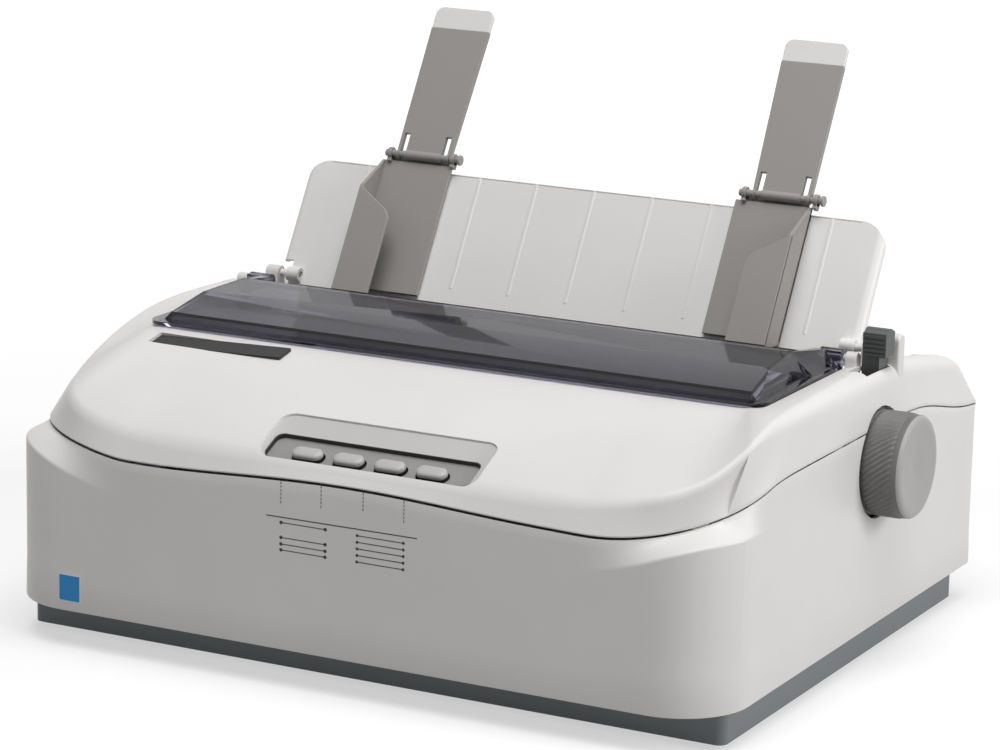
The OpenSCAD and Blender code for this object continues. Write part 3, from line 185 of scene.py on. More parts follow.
def build_moulded_grain():
    """Moulded plastic skin: a fine texture, slow shade changes and uneven gloss."""
    group, nodes, came, out, place = finish_group("moulded_grain", (
        ("Grain size", "Float", 900.0), ("Depth", "Float", 0.1),
        ("Colour", "Color", (0.8, 0.8, 0.8, 1)), ("Shade change", "Float", 0.04),
        ("Gloss", "Float", 0.4)))
    grain = add_node(nodes, "TexNoise", {"Detail": 3.0, "Roughness": 0.6})
    bump = add_node(nodes, "Bump", {"Distance": 0.00025})
    cloud = add_node(nodes, "TexNoise", {"Scale": 14.0, "Detail": 2.0})
    spread = add_node(nodes, "MapRange", {"From Min": 0.3, "From Max": 0.7, "To Min": 1.0})
    low = add_node(nodes, "Math", {0: 1.0}, operation="SUBTRACT")
    tint = add_node(nodes, "Mix", {"Factor": 1.0}, data_type="RGBA", blend_type="MULTIPLY")
    rough = add_node(nodes, "Math", {1: 0.12}, operation="MULTIPLY_ADD")
    link_all(group.links, (
        (place, grain, "Vector"), (came["Grain size"], grain, "Scale"),
        (grain, bump, "Height"), (came["Depth"], bump, "Strength"),
        (bump, out, "Normal"), (place, cloud, "Vector"),
        (cloud, spread, "Value"), (came["Shade change"], low, 1),
        (low, spread, "To Max"), (came["Colour"], tint, "A"),
        (spread, tint, "B"), (tint.outputs["Result"], out, "Colour"),
        (grain, rough, 0), (came["Gloss"], rough, 2),
        (rough, out, "Roughness")))
    return group


def build_ground_metal():
    """Drawn or ground metal: fine lines along one axis, with uneven shine."""
    group, nodes, came, out, place = finish_group("ground_metal", (
        ("Colour", "Color", (0.6, 0.6, 0.6, 1)), ("Line stretch", "Vector", (1, 1, 1)),
        ("Depth", "Float", 0.1), ("Gloss", "Float", 0.25)))
    stretch = add_node(nodes, "VectorMath", operation="MULTIPLY")
    line = add_node(nodes, "TexNoise", {"Scale": 600.0, "Detail": 2.0})
    bump = add_node(nodes, "Bump", {"Distance": 0.0002})
    patch = add_node(nodes, "TexNoise", {"Scale": 45.0})
    tint = add_node(nodes, "Mix", {"Factor": 0.25}, data_type="RGBA", blend_type="MULTIPLY")
    rough = add_node(nodes, "Math", {1: 0.2}, operation="MULTIPLY_ADD")
    link_all(group.links, (
        (place, stretch, 0), (came["Line stretch"], stretch, 1),
        (stretch, line, "Vector"), (line, bump, "Height"),
        (came["Depth"], bump, "Strength"), (bump, out, "Normal"),
        (place, patch, "Vector"), (came["Colour"], tint, "A"), (patch, tint, "B"),
        (tint.outputs["Result"], out, "Colour"), (patch, rough, 0),
        (came["Gloss"], rough, 2), (rough, out, "Roughness")))
    return group


GRAIN = build_moulded_grain()
METAL = build_ground_metal()


def new_finish(name):
    """Empty material with a Principled shader on its output."""
    material = bpy.data.materials.new(name)
    nodes, links = empty_tree(material)
    skin = add_node(nodes, "BsdfPrincipled")
    links.new(skin.outputs[0], add_node(nodes, "OutputMaterial").inputs["Surface"])
    return material, nodes, links, skin


def grouped_finish(name, group, values):
    """Material whose colour, roughness and normal come from a node group."""
    material, nodes, links, skin = new_finish(name)
    made = add_node(nodes, "Group", values, node_tree=group)
    link_all(links, ((made.outputs["Colour"], skin, "Base Color"),
                     (made.outputs["Roughness"], skin, "Roughness"),
                     (made.outputs["Normal"], skin, "Normal")))
    return material, skin


def plastic(name, colour, gloss=0.4, depth=0.1, grain=900.0, coat=0.0):
    """Moulded plastic, rubber or fabric."""
    material, skin = grouped_finish(name, GRAIN, {
        "Colour": (*colour, 1), "Gloss": gloss, "Grain size": grain, "Depth": depth})
    skin.inputs["Coat Weight"].default_value = coat
    skin.inputs["Coat Roughness"].default_value = 0.2
    return material


def metal(name, colour, gloss, stretch):
    """Bare, drawn or plated metal."""
    material, skin = grouped_finish(name, METAL, {
        "Colour": (*colour, 1), "Gloss": gloss, "Line stretch": stretch, "Depth": 0.12})
    skin.inputs["Metallic"].default_value = 1.0
    return material


def smoked_plastic(name, thin, thick):
    """Clear plastic with a dark tint between two colours, and a polished skin."""
    material, nodes, links, skin = new_finish(name)
    place = add_node(nodes, "TexCoord")
    haze = add_node(nodes, "TexNoise", {"Scale": 60.0, "Detail": 4.0})
    rough = add_node(nodes, "MapRange", {"To Min": 0.03, "To Max": 0.09})
    tint = add_node(nodes, "Mix", {"A": (*thin, 1), "B": (*thick, 1)}, data_type="RGBA")
    link_all(links, ((place.outputs["Object"], haze, "Vector"),
                     (haze, rough, "Value"), (haze, tint, "Factor"),
                     (rough, skin, "Roughness"),
                     (tint.outputs["Result"], skin, "Base Color")))
    skin.inputs["Transmission Weight"].default_value = 1.0
    skin.inputs["IOR"].default_value = 1.49
    return material


# Moulded plastics, rubbers and fabric: colour, gloss, depth and size of the grain, coat
PLASTICS = {
    "case_plastic": ((0.80, 0.785, 0.77), 0.36, 0.12),
    "base_plastic": ((0.175, 0.193, 0.203), 0.45, 0.2),
    "guide_grey": ((0.33, 0.315, 0.30), 0.4, 0.15),
    "panel_grey": ((0.42, 0.41, 0.40), 0.42, 0.15),
    "knob_grey": ((0.41, 0.405, 0.40), 0.42, 0.2),
    "knurl_grey": ((0.165, 0.163, 0.16), 0.5, 0.2),
    "lever_dark": ((0.075, 0.08, 0.078), 0.4, 0.25),
    "platen_rubber": ((0.02, 0.02, 0.022), 0.45, 0.3, 1600.0),
    "foot_rubber": ((0.03, 0.03, 0.03), 0.7, 0.3),
    "gear_plastic": ((0.74, 0.71, 0.62),),
    "black_plastic": ((0.022, 0.022, 0.024), 0.42, 0.2),
    "belt_rubber": ((0.02, 0.02, 0.02), 0.6, 0.3),
    "ribbon_fabric": ((0.008, 0.008, 0.01), 0.8, 0.5, 2500.0),
    "board_green": ((0.02, 0.13, 0.045), 0.25, 0.1, 900.0, 0.5),
    "plate_black": ((0.016, 0.017, 0.016), 0.6, 0.08),
    "label_blue": ((0.012, 0.26, 0.60), 0.45, 0.05),
    "label_white": ((0.82, 0.83, 0.84), 0.45, 0.05),
    # The sheet guide's case plastic in a lighter copy: painted light
    "guide_painted_light": ((0.88, 0.865, 0.85), 0.34),
    # The pale arm tip is a painted highlight on the arm's end
    "tip_painted_highlight": ((0.80, 0.79, 0.78), 0.38),
    # The scoop's grey is painted shade on what is the case's white plastic
    "scoop_painted_shade": ((0.56, 0.55, 0.54),),
    "window_grey": ((0.30, 0.295, 0.285), 0.5, 0.3, 700.0),
    "button_grey": ((0.50, 0.495, 0.485), 0.38),
    "legend_ink": ((0.05, 0.05, 0.055), 0.5, 0.05),
    # The paper chute's black is partly its paint and partly painted shade of the printer's inside
    "chute_black_and_shade": ((0.05, 0.05, 0.055),),
}
# Metals: colour, gloss, how their lines are stretched along X, Y and Z
METALS = {
    "shaft_steel": ((0.62, 0.62, 0.64), 0.25, (0.02, 1, 1)),
    "frame_steel": ((0.56, 0.57, 0.58), 0.35, (1, 1, 1)),
    "bronze": ((0.60, 0.42, 0.22), 0.4, (1, 1, 1)),
    "head_alloy": ((0.10, 0.10, 0.11), 0.45, (1, 1, 1)),
    "motor_steel": ((0.42, 0.43, 0.45), 0.35, (1, 1, 0.05)),
    "core_steel": ((0.20, 0.20, 0.22), 0.5, (0.05, 1, 1)),
}
FINISH = {name: plastic(name, *how) for name, how in PLASTICS.items()}
FINISH.update({name: metal(name, *how) for name, how in METALS.items()})
FINISH["smoked_clear"] = smoked_plastic("smoked_clear", (0.21, 0.205, 0.275), (0.25, 0.245, 0.32))

# ---------------- mesh helpers

# Degrees between faces that still look like one curve: on plain and on much curved pieces
PLAIN, CURVED = 32, 40


def new_piece(name, mesh, body, slot, replaces=(), finish=None, place=None, angle=PLAIN):
    """Object that rides on a body in place of CAD nodes, shaded smooth but for sharp edges."""
    mesh.name = name
    mesh.polygons.foreach_set("use_smooth", [True] * len(mesh.polygons))
    mesh.set_sharp_from_angle(angle=math.radians(angle))
    mesh.update()
    if place is not None:
        mesh.transform(place)
    piece = add_object(name, mesh)
    mesh.materials.append(FINISH[finish or slot])
    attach(piece, body)
    if replaces:
        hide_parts(*replaces)
    return piece


def loft(rings, closed=False):
    """Body through rings of millimetre points with one count, closed round or with flat ends."""
    n, m = len(rings), len(rings[0])
    faces = []
    for i in range(n if closed else n - 1):
        for j in range(m):
            a, b = i * m + j, i * m + (j + 1) % m
            c, d = ((i + 1) % n) * m + (j + 1) % m, ((i + 1) % n) * m + j
            faces.append((a, b, c, d))
    if not closed:
        faces.append(tuple(range(m - 1, -1, -1)))
        faces.append(tuple((n - 1) * m + j for j in range(m)))
    mesh = bpy.data.meshes.new("body")
    mesh.from_pydata([(x * MM, y * MM, z * MM) for ring in rings for x, y, z in ring], [], faces)
    mesh.validate()
    mesh.update()
    return mesh


def outward(mesh):
    """The mesh with every face turned outward."""
    bm = bmesh.new()
    bm.from_mesh(mesh)
    bmesh.ops.recalc_face_normals(bm, faces=bm.faces)
    bm.to_mesh(mesh)
    bm.free()
    return mesh


def cut(mesh, cutters):
    """The mesh less a list of closed meshes."""
    body = add_object("cut_body", mesh)
    tools = [add_object("cut_tool", cutter) for cutter in cutters]
    for tool in tools:
        step = body.modifiers.new("cut", "BOOLEAN")
        step.operation = "DIFFERENCE"
        step.solver = "EXACT"
        step.object = tool
    bpy.context.view_layer.update()
    done = bpy.data.meshes.new_from_object(
        body.evaluated_get(bpy.context.evaluated_depsgraph_get()))
    for thing in [body, *tools]:
        bpy.data.objects.remove(thing)
    return done


def joined(meshes):
    """One mesh from several."""
    bm = bmesh.new()
    for mesh in meshes:
        bm.from_mesh(mesh)
    whole = bpy.data.meshes.new("joined")
    bm.to_mesh(whole)
    bm.free()
    return whole


def arc(x, y, r, start, sweep, steps=12):
    """Points along an arc, in degrees, with both its ends."""
    turns = [math.radians(start + sweep * i / steps) for i in range(steps + 1)]
    return [(x + r * math.cos(a), y + r * math.sin(a)) for a in turns]


def circle(x, y, r, steps):
    return arc(x, y, r, 0, 360, steps)[:-1]


def rounded(x0, y0, x1, y1, r, steps=8):
    """Outline of a rectangle with round corners."""
    corners = ((x1 - r, y0 + r, -90), (x1 - r, y1 - r, 0), (x0 + r, y1 - r, 90),
               (x0 + r, y0 + r, 180))
    return [p for x, y, start in corners for p in arc(x, y, r, start, 90, steps)]


def stadium(x, y, w, d):
    """Outline round at both ends, about a middle."""
    reach = (w - d) / 2
    return arc(x + reach, y, d / 2, -90, 180, 16) + arc(x - reach, y, d / 2, 90, 180, 16)


def arch(y, z, half, foot):
    """Outline of an upright post with a round top about an axis."""
    return [(y - half, foot), (y + half, foot)] + arc(y, z, half, 0, 180, 24)


def prism(outline, low, high, place=None):
    """Upright prism on an outline of (x, y) points, moved by a matrix."""
    mesh = outward(loft([[(x, y, z) for x, y in outline] for z in (low, high)]))
    if place is not None:
        mesh.transform(place)
    return mesh


def box(x0, x1, y0, y1, z0, z1):
    return prism([(x0, y0), (x1, y0), (x1, y1), (x0, y1)], z0, z1)


def side_prism(outline, x0, x1):
    """Plate across X with an outline of (y, z) points."""
    return outward(loft([[(x, y, z) for y, z in outline] for x in (x0, x1)]))


def slope_prism(outline, y0, y1):
    """Plate across Y with an outline of (x, z) points."""
    return outward(loft([[(x, y, z) for x, z in outline] for y in (y0, y1)]))


def rod(x0, x1, y, z, r, steps=48):
    """Solid cylinder along X."""
    return side_prism(circle(y, z, r, steps), x0, x1)


def turned(profile, y, z, steps):
    """Body turned about an axis along X, from a closed profile of (x, radius) points."""
    turns = [2 * math.pi * i / steps for i in range(steps)]
    return loft([[(x, y + r * math.cos(a), z + r * math.sin(a)) for x, r in profile]
                 for a in turns], True)


def place_at(x, y, z):
    return Matrix.Translation(Vector((x, y, z)) * MM)


def turn(degrees, axis="X"):
    return Matrix.Rotation(math.radians(degrees), 4, axis)


def soften(piece, width, steps=2):
    """Small round on every hard edge."""
    bevel = piece.modifiers.new("edge_round", "BEVEL")
    bevel.width = width * MM
    bevel.segments = steps
    bevel.limit_method = "ANGLE"
    bevel.angle_limit = math.radians(35)
    bevel.harden_normals = True
    bevel.use_clamp_overlap = True


def dress(node, slot, width):
    """Finish and soft edges for a node that keeps its solid's shape."""
    piece = NODES[node]
    mesh = piece.data
    mesh.materials.clear()
    mesh.materials.append(FINISH[slot])
    if "custom_normal" in mesh.attributes:
        mesh.attributes.remove(mesh.attributes["custom_normal"])
    weld = piece.modifiers.new("weld", "WELD")
    weld.merge_threshold = 0.00001
    soften(piece, width)
    mesh.polygons.foreach_set("use_smooth", [True] * len(mesh.polygons))
    shading = piece.modifiers.new("even_shading", "WEIGHTED_NORMAL")
    shading.weight = 80
    shading.keep_sharp = True

# ---------------- form of the case

# Millimetres, shares and plain counts
HALF_W, HALF_D = 207.5, 170.0
SEAM_A, SEAM_B, SEAM_E = 79.0, 63.0, 1.88
SEAM_MID, SEAM_LOW, SEAM_SIDE, SEAM_REAR = 109.6, 104.7, 127.4, 110.9
SEAM_GAP, SIDE_GAP, WALL, CASE_Z = 1.0, 0.35, 2.5, 20.0
CORNER_R, REAR_R, EDGE_R = 38.0, 5.0, 8.0
DECK_Z, DECK_REAR_Z, DECK_FRONT_Y, DECK_BREAK_Y = 152.4, 140.2, -64.0, 143.0
DECK_FALL_Y, EDGE_END_Y, DECK_OPEN = 35, 137, HALF_W - 28.5
SHOULDER_H, SHOULDER_R, LIP_R = 3.8, 9.0, 4
SIDE_LIP_IN, LEFT_DIP = 4, 23
PLATEN_Y, PLATEN_Z, WELL_R, WELL_X = 29.0, 108.0, 29.5, HALF_W - 7.5
UP = Vector((0, 0, 1))
FLAT_S, ARC_S = SEAM_A - CORNER_R, CORNER_R * math.pi / 2
SIDE_Y0, SIDE_Y1 = -HALF_D + SEAM_B, HALF_D - REAR_R
# Deck's curve: its middle point's share of the way from lip to edge, and how high that is
FRONT_PULL, FRONT_LIFT, SIDE_PULL, SIDE_LIFT = 0.284, 10.9, 0.4, 2.5
# Stations along half the front, a swept corner, a side and a rear corner
FRONT_STEPS, CORNER_STEPS, SIDE_STEPS, REAR_STEPS = 36, 72, 80, 8
# Steps of an upper section's wall, lip and deck
WALL_STEPS, LIP_STEPS, DECK_STEPS = 12, 8, 22
# Rounds of evening of the seam, the upper and the lower sections
SEAM_ROUNDS, UPPER_ROUNDS, LOWER_ROUNDS = 40, 3, 12
# First point of a section that is evened, and where that stops in a lower one
RIM_POINTS, LEDGE_POINTS = 3, 16
# Shares of a swept corner at which the seam folds and the deck's edge turns
FOLD_U, TURN_U = 0.66, 0.6
# Wall's swell behind the fold and hollow before it: depth, length as a share of the corner
SWELL, HOLLOW = (1.0, 0.15), (-1.8, 0.08)
# Lip at the middle of the front and how much it adds by the corner: inward, above the seam
LIP_IN, LIP_UP = (5.2, 1.5), (13.6, 0.7)

# Crease below the swept corner: distance along the outline, height
CREASE = ((0, 85), (10, 87.6), (36, 95.2), (46, 99.2), (70, 105.5), (100, 106.3), (126, 105))
# Lip above the seam round a swept corner: share of the corner, how far in from the side and
# from the front as shares of the corner's width and depth, height above the seam's low point
RIGHT_LIP = ((0, 1, 0.106, 14.3), (0.15, 0.804, 0.135, 16.3), (0.3, 0.62, 0.187, 19),
             (0.4, 0.481, 0.241, 21.5), (0.5, 0.342, 0.338, 25.3), (0.57, 0.23, 0.457, 30.6),
             (0.62, 0.146, 0.611, 37.8), (0.66, 0.084, 0.749, 44.5), (0.74, 0.054, 0.913, 48.5),
             (0.85, 0.044, 1.111, 50.5), (1, 0.042, 1.429, 51.5))
LEFT_LIP = ((0, 1, 0.106, 14.3), (0.15, 0.804, 0.135, 16.3), (0.3, 0.62, 0.19, 19),
            (0.4, 0.494, 0.254, 21.6), (0.5, 0.38, 0.365, 25.1), (0.6, 0.297, 0.5, 26.8),
            (0.7, 0.234, 0.683, 27.8), (0.8, 0.165, 0.825, 27.3), (0.9, 0.108, 0.96, 27),
            (1, 0.063, 1.095, 28.3))


def smooth(v):
    v = min(max(v, 0), 1)
    return v * v * (3 - 2 * v)


def along(table, at):
    """Smooth curve through a table's rows, by their first number."""
    last = len(table) - 1
    if at <= table[0][0] or at >= table[last][0]:
        return list(table[0 if at <= table[0][0] else last][1:])
    i = max(k for k in range(last) if table[k][0] <= at)

    def slope(k, c):
        a, b = max(k - 1, 0), min(k + 1, last)
        return (table[b][c] - table[a][c]) / (table[b][0] - table[a][0])

    h = table[i + 1][0] - table[i][0]
    t = (at - table[i][0]) / h
    return [(2 * t**3 - 3 * t**2 + 1) * table[i][c] + (t**3 - 2 * t**2 + t) * h * slope(i, c)
            + (3 * t**2 - 2 * t**3) * table[i + 1][c] + (t**3 - t**2) * h * slope(i + 1, c)
            for c in range(1, len(table[0]))]


def edge_z(y):
    """Height of the deck along its inner edge, level at first and then falling to the rear."""
    return DECK_Z + (DECK_REAR_Z - DECK_Z) * max(y - DECK_FALL_Y, 0) / (EDGE_END_Y - DECK_FALL_Y)


def nearest_outline(x, y):
    """Lower outline's nearest point, and how far along it that lies."""
    cx, cy = HALF_W - CORNER_R, -HALF_D + CORNER_R
    if x <= cx:
        return (x, -HALF_D), x - HALF_W + SEAM_A
    if y >= cy:
        return (HALF_W, y), FLAT_S + ARC_S + y - cy
    a = math.atan2(x - cx, cy - y)
    return (cx + CORNER_R * math.sin(a), cy - CORNER_R * math.cos(a)), FLAT_S + CORNER_R * a


class Station:
    """One upright cut through the case: seam, foot of the wall, crease, lip, deck edge."""

    def __init__(self, seam, foot, crease, lip, edge, pull, lift, round_r):
        self.seam, self.foot, self.crease = Vector(seam), foot, crease
        self.lip, self.edge = Vector(lip), Vector(edge)
        self.middle = self.lip.lerp(self.edge, pull) + UP * lift
        self.round_r, self.swell, self.crisp, self.gap = round_r, 0, False, SEAM_GAP
        self.inward = Vector((self.edge.x - self.seam.x, self.edge.y - self.seam.y, 0)).normalized()

    def flip(self):
        """The same station on the other side of the case."""
        twin = copy.copy(self)
        for key in ("seam", "lip", "edge", "middle", "inward"):
            x, y, z = getattr(self, key)
            setattr(twin, key, Vector((-x, y, z)))
        twin.foot = (-self.foot[0], self.foot[1])
        return twin


def front_station(x):
    v = abs(x) / (HALF_W - SEAM_A)
    z = SEAM_MID + (SEAM_LOW - SEAM_MID) * (0.5 - 0.5 * math.cos(math.pi * v))
    lip = (x, -HALF_D + LIP_IN[0] + LIP_IN[1] * v**3, SEAM_LOW + LIP_UP[0] + LIP_UP[1] * v**3)
    return Station((x, -HALF_D, z), (x, -HALF_D), CREASE[0][1], lip, (x, DECK_FRONT_Y, DECK_Z),
                   FRONT_PULL, FRONT_LIFT, LIP_R + 3 * (1 - v**4))


def corner_edge(u):
    if u < TURN_U:
        start = HALF_W - SEAM_A
        return start + (DECK_OPEN - EDGE_R - start) * u / TURN_U, DECK_FRONT_Y
    return arc(DECK_OPEN - EDGE_R, DECK_FRONT_Y + EDGE_R, EDGE_R, -90,
               90 * (u - TURN_U) / (1 - TURN_U), 1)[1]


def corner_seam(u, right):
    """Seam height round a swept corner: over the knob at the right, level at the left."""
    if right:
        return SEAM_LOW + (SEAM_SIDE - SEAM_LOW) * (-0.53 * u + 2.64 * u * u - 1.11 * u**3)
    return SEAM_LOW + (SEAM_REAR - SEAM_LOW) * (1 - (1 - min(u / TURN_U, 1)) ** 1.5)


def corner_lip(u, right):
    side, front, rise = along(RIGHT_LIP if right else LEFT_LIP, u)
    return HALF_W - SEAM_A * side, -HALF_D + SEAM_B * front, SEAM_LOW + rise


def corner_station(u, right):
    a, k = math.pi / 2 * u, 2 / SEAM_E
    x = HALF_W - SEAM_A + SEAM_A * math.sin(a) ** k
    y = -HALF_D + SEAM_B - SEAM_B * max(math.cos(a), 0) ** k
    foot, s = nearest_outline(x, y)
    station = Station((x, y, corner_seam(u, right)), foot, along(CREASE, s)[0],
                      corner_lip(u, right), (*corner_edge(u), DECK_Z),
                      FRONT_PULL + (SIDE_PULL - FRONT_PULL) * smooth(u),
                      FRONT_LIFT + (SIDE_LIFT - FRONT_LIFT) * smooth(u),
                      LIP_R + (SHOULDER_R - LIP_R) * smooth((u - 0.5) * 2))
    if right:
        past = u - FOLD_U
        depth, length = SWELL if past > 0 else HOLLOW
        station.swell = depth * math.exp(-(past / length) ** 2)
        station.crisp = abs(past) < 0.012
        station.gap += (SIDE_GAP - SEAM_GAP) * smooth(u * 1.2)
    return station


def shoulder_z(y, right):
    """Height of the side's shoulder; the left one dips to the front."""
    high = DECK_Z + SHOULDER_H
    back = max(y - 40, 0) / (DECK_BREAK_Y - 40)
    dip = 0 if right else LEFT_DIP * (1 - min(max((y - SIDE_Y0 - 6) / 100, 0), 1)) ** 2.2
    return high - (high - DECK_REAR_Z - 0.5) * back**1.6 - dip


def side_station(v, right):
    y = SIDE_Y0 + (SIDE_Y1 - SIDE_Y0) * v
    ey = DECK_FRONT_Y + EDGE_R + (EDGE_END_Y - DECK_FRONT_Y - EDGE_R) * v
    first = corner_lip(1, right)
    qy = first[1] + (DECK_BREAK_Y - 1 - first[1]) * v
    drop = SEAM_REAR - SEAM_SIDE
    rise = SEAM_SIDE + drop * smooth((y - 70) / (SIDE_Y1 - 70)) if right else SEAM_REAR
    return Station((HALF_W, y, rise), (HALF_W, y), 105 - 5 * smooth((v - 0.5) * 2),
                   (first[0] + (HALF_W - SIDE_LIP_IN - first[0]) * smooth(v * 3), qy,
                    shoulder_z(qy, right)),
                   (DECK_OPEN, ey, edge_z(ey)), SIDE_PULL, SIDE_LIFT, SHOULDER_R)


def rear_station(a):
    s = math.sin(a)
    x, y = HALF_W - REAR_R + REAR_R * math.cos(a), SIDE_Y1 + REAR_R * s
    return Station((x, y, SEAM_REAR), (x, y), 100,
                   (HALF_W - SIDE_LIP_IN - 3 * s, DECK_BREAK_Y - 1 + s, DECK_REAR_Z + 0.5),
                   (DECK_OPEN, EDGE_END_Y, DECK_REAR_Z), SIDE_PULL, SIDE_LIFT - 2 * s,
                   SHOULDER_R - 3 * s)


def last_station():
    """Where the case ends at the deck's opening in the rear."""
    return Station((DECK_OPEN, HALF_D, SEAM_REAR), (DECK_OPEN, HALF_D), 100,
                   (DECK_OPEN, DECK_BREAK_Y, DECK_REAR_Z), (DECK_OPEN, EDGE_END_Y, DECK_REAR_Z),
                   SIDE_PULL, 0.1, 2.5)


def half_stations(right):
    turns = [i / CORNER_STEPS for i in range(1, CORNER_STEPS + 1)]
    if right:
        turns = sorted(turns + [FOLD_U + step for step in (-0.004, 0, 0.001, 0.004)])
    rest = [side_station(i / SIDE_STEPS, right) for i in range(1, SIDE_STEPS + 1)]
    rest += [rear_station(math.pi / 2 * i / REAR_STEPS) for i in range(1, REAR_STEPS + 1)]
    rest.append(last_station())
    for station in rest:
        station.gap = SIDE_GAP if right else SEAM_GAP
    return [corner_station(u, right) for u in turns] + rest


def even(back, here, on):
    """Here, drawn halfway to its two neighbours, of which the nearer counts more."""
    a, b = 1 / ((here - back).length + 0.01), 1 / ((on - here).length + 0.01)
    return here.lerp((back * a + on * b) / (a + b), 0.5)


def all_stations():
    """Stations from the rear left round the front to the rear right, with an evened seam."""
    front = [front_station((HALF_W - SEAM_A) * i / FRONT_STEPS)
             for i in range(-FRONT_STEPS, FRONT_STEPS + 1)]
    stations = [s.flip() for s in half_stations(False)[::-1]] + front + half_stations(True)
    for _ in range(SEAM_ROUNDS):
        seams = [s.seam.copy() for s in stations]
        for i in range(1, len(stations) - 1):
            stations[i].seam.z = even(*seams[i - 1:i + 2]).z
    return stations


def even_rings(rings, rounds, stop, crisp=()):
    """Sections with their outer points evened from one to the next, bar the crisp ones."""
    for _ in range(rounds):
        fresh = [list(r) for r in rings]
        for i in range(1, len(rings) - 1):
            if i not in crisp:
                for j in range(RIM_POINTS, stop):
                    fresh[i][j] = even(rings[i - 1][j], rings[i][j], rings[i + 1][j])
        rings = fresh
    return rings


def bend(a, b, c, w, t):
    """Point on the curve from a to c that bends towards b with sharpness w."""
    i, j, k = (1 - t) ** 2, 2 * w * t * (1 - t), t * t
    return (a * i + b * j + c * k) / (i + j + k)


def upper_line(s, thick, edge):
    """Upper section from the seam over the lip to the deck's edge, moved in by a thickness."""
    start = s.seam + UP * s.gap + s.inward * thick
    lip = s.lip + s.inward * thick * 0.9 - UP * thick
    middle, end = s.middle - UP * thick, s.edge - UP * thick
    reach = min(s.round_r, (start - lip).length * 0.45)
    wall_end = lip + (start - lip).normalized() * reach
    t0 = min(reach / (2 * (middle - lip).length), 0.45)
    deck_start = bend(lip, middle, end, 1, t0)
    line = []
    if edge:
        line += [start + s.inward * 0.9 + UP * 0.4, start + s.inward * 0.25 + UP * 0.2]
        start = start + UP * 0.9
    for i in range(WALL_STEPS):
        swell = s.inward * s.swell * math.sin(math.pi * i / WALL_STEPS) ** 0.8
        line.append(start.lerp(wall_end, i / WALL_STEPS) - swell)
    line.append(wall_end)
    line += [bend(wall_end, lip, deck_start, 0.85, i / LIP_STEPS) for i in range(1, LIP_STEPS)]
    line += [bend(lip, middle, end, 1, t0 + (1 - t0) * i / DECK_STEPS)
             for i in range(DECK_STEPS + 1)]
    return line


def upper_rings(stations):
    """Evened upper sections, each with its inside."""
    rings = [upper_line(s, 0, True) for s in stations]
    crisp = [i for i, s in enumerate(stations) if s.crisp]
    rings = even_rings(rings, UPPER_ROUNDS, len(rings[0]) - 1, crisp)
    return [r + upper_line(s, WALL, False)[::-2] for r, s in zip(rings, stations)]


def lower_ring(s):
    """Lower section: wall, crease, ledge up to the seam, and the inside."""
    foot = Vector((*s.foot, 0))
    crease = foot + UP * s.crease
    ledge = s.seam - crease
    soft = min(1.2, ledge.length * 0.45)
    below, above = crease - UP * soft, crease + ledge.normalized() * soft
    wide = s.inward * WALL
    low, top = foot + UP * (CASE_Z + 1.2), s.seam - UP * 0.8
    ring = [foot + UP * CASE_Z + s.inward * 1.2, foot + UP * (CASE_Z + 0.35) + s.inward * 0.35,
            low]
    ring += [low.lerp(below, i / 4) for i in range(1, 5)]
    ring += [bend(below, crease, above, 0.9, i / 6) for i in range(1, 7)]
    ring += [above.lerp(top, i / 4) for i in range(1, 5)]
    ring += [s.seam - UP * 0.15 + s.inward * 0.25, s.seam - UP * 0.6 + s.inward * 0.9,
             s.seam - UP * 1.8 + wide,
             foot + wide + UP * (s.crease - 3), foot + wide + UP * CASE_Z]
    return ring


def lower_rings(stations):
    """Lower sections, evened below the seam."""
    return even_rings([lower_ring(s) for s in stations], LOWER_ROUNDS, LEDGE_POINTS)


# ---------------- upper and lower case

COVER_X, COVER_FRONT, REBATE_TOP = DECK_OPEN + 2, -68.0, 156.4
COVER_AXIS, GUIDE_AXIS, PIN_R = (40, 158), (70, 157), 2
# Hinge posts: axis, half width, foot; post and stub pin as distances from the deck's opening
POSTS = ((COVER_AXIS, 3.6, 148, (2.6, 9), (-7, 3)), (GUIDE_AXIS, 4, 145.5, (-0.5, 8), (-10, 0)))
LEVER_SLOT = (DECK_OPEN + 10.8, DECK_OPEN + 21.7, 21, 52.6, 138, 170)
# Lever guard: ends, axis of its round top, half width, foot
GUARD_X, GUARD_AXIS, GUARD_HALF, GUARD_FOOT = (DECK_OPEN + 19, DECK_OPEN + 25.6), (59, 166), 4, 146
# Openings in the rear wall: middle's x and z, width, height
PORTS = ((-150, 62, 27.3, 19.8), (-112, 62, 20.3, 13.3), (95, 38, 56.3, 13.3),
         (148, 38, 13.3, 12.3))
PORT_Y = (158, 175)
FLOOR_IN, FLOOR_HOLE, WELL_RIM, WELL_T, WELL_BORE = 1.2, (-180.5, -126, 180.5, 140), 4, 1.8, 9
BOSS_X, BOSS_Y, BOSS_R, BOSS_BORE = 187, (-133, 147), 5, 1.5
# Name plate: its hole, and where that lies on the deck
PLATE_HOLE, PLATE_R, PLATE_SHARE = (-40.65, -6.65, 40.65, 6.65), 1.1, 0.88
deck_front = front_station(HALF_W - SEAM_A)
plate_at = bend(deck_front.lip, deck_front.middle, deck_front.edge, 1, PLATE_SHARE)
PLATE_PLACE = place_at(-126.5, plate_at.y, plate_at.z - 1.2) @ turn(-2, "Y") @ turn(11)


def knob_well():
    return rod(WELL_X + 1, HALF_W + 10, PLATEN_Y, PLATEN_Z, WELL_R, 96)


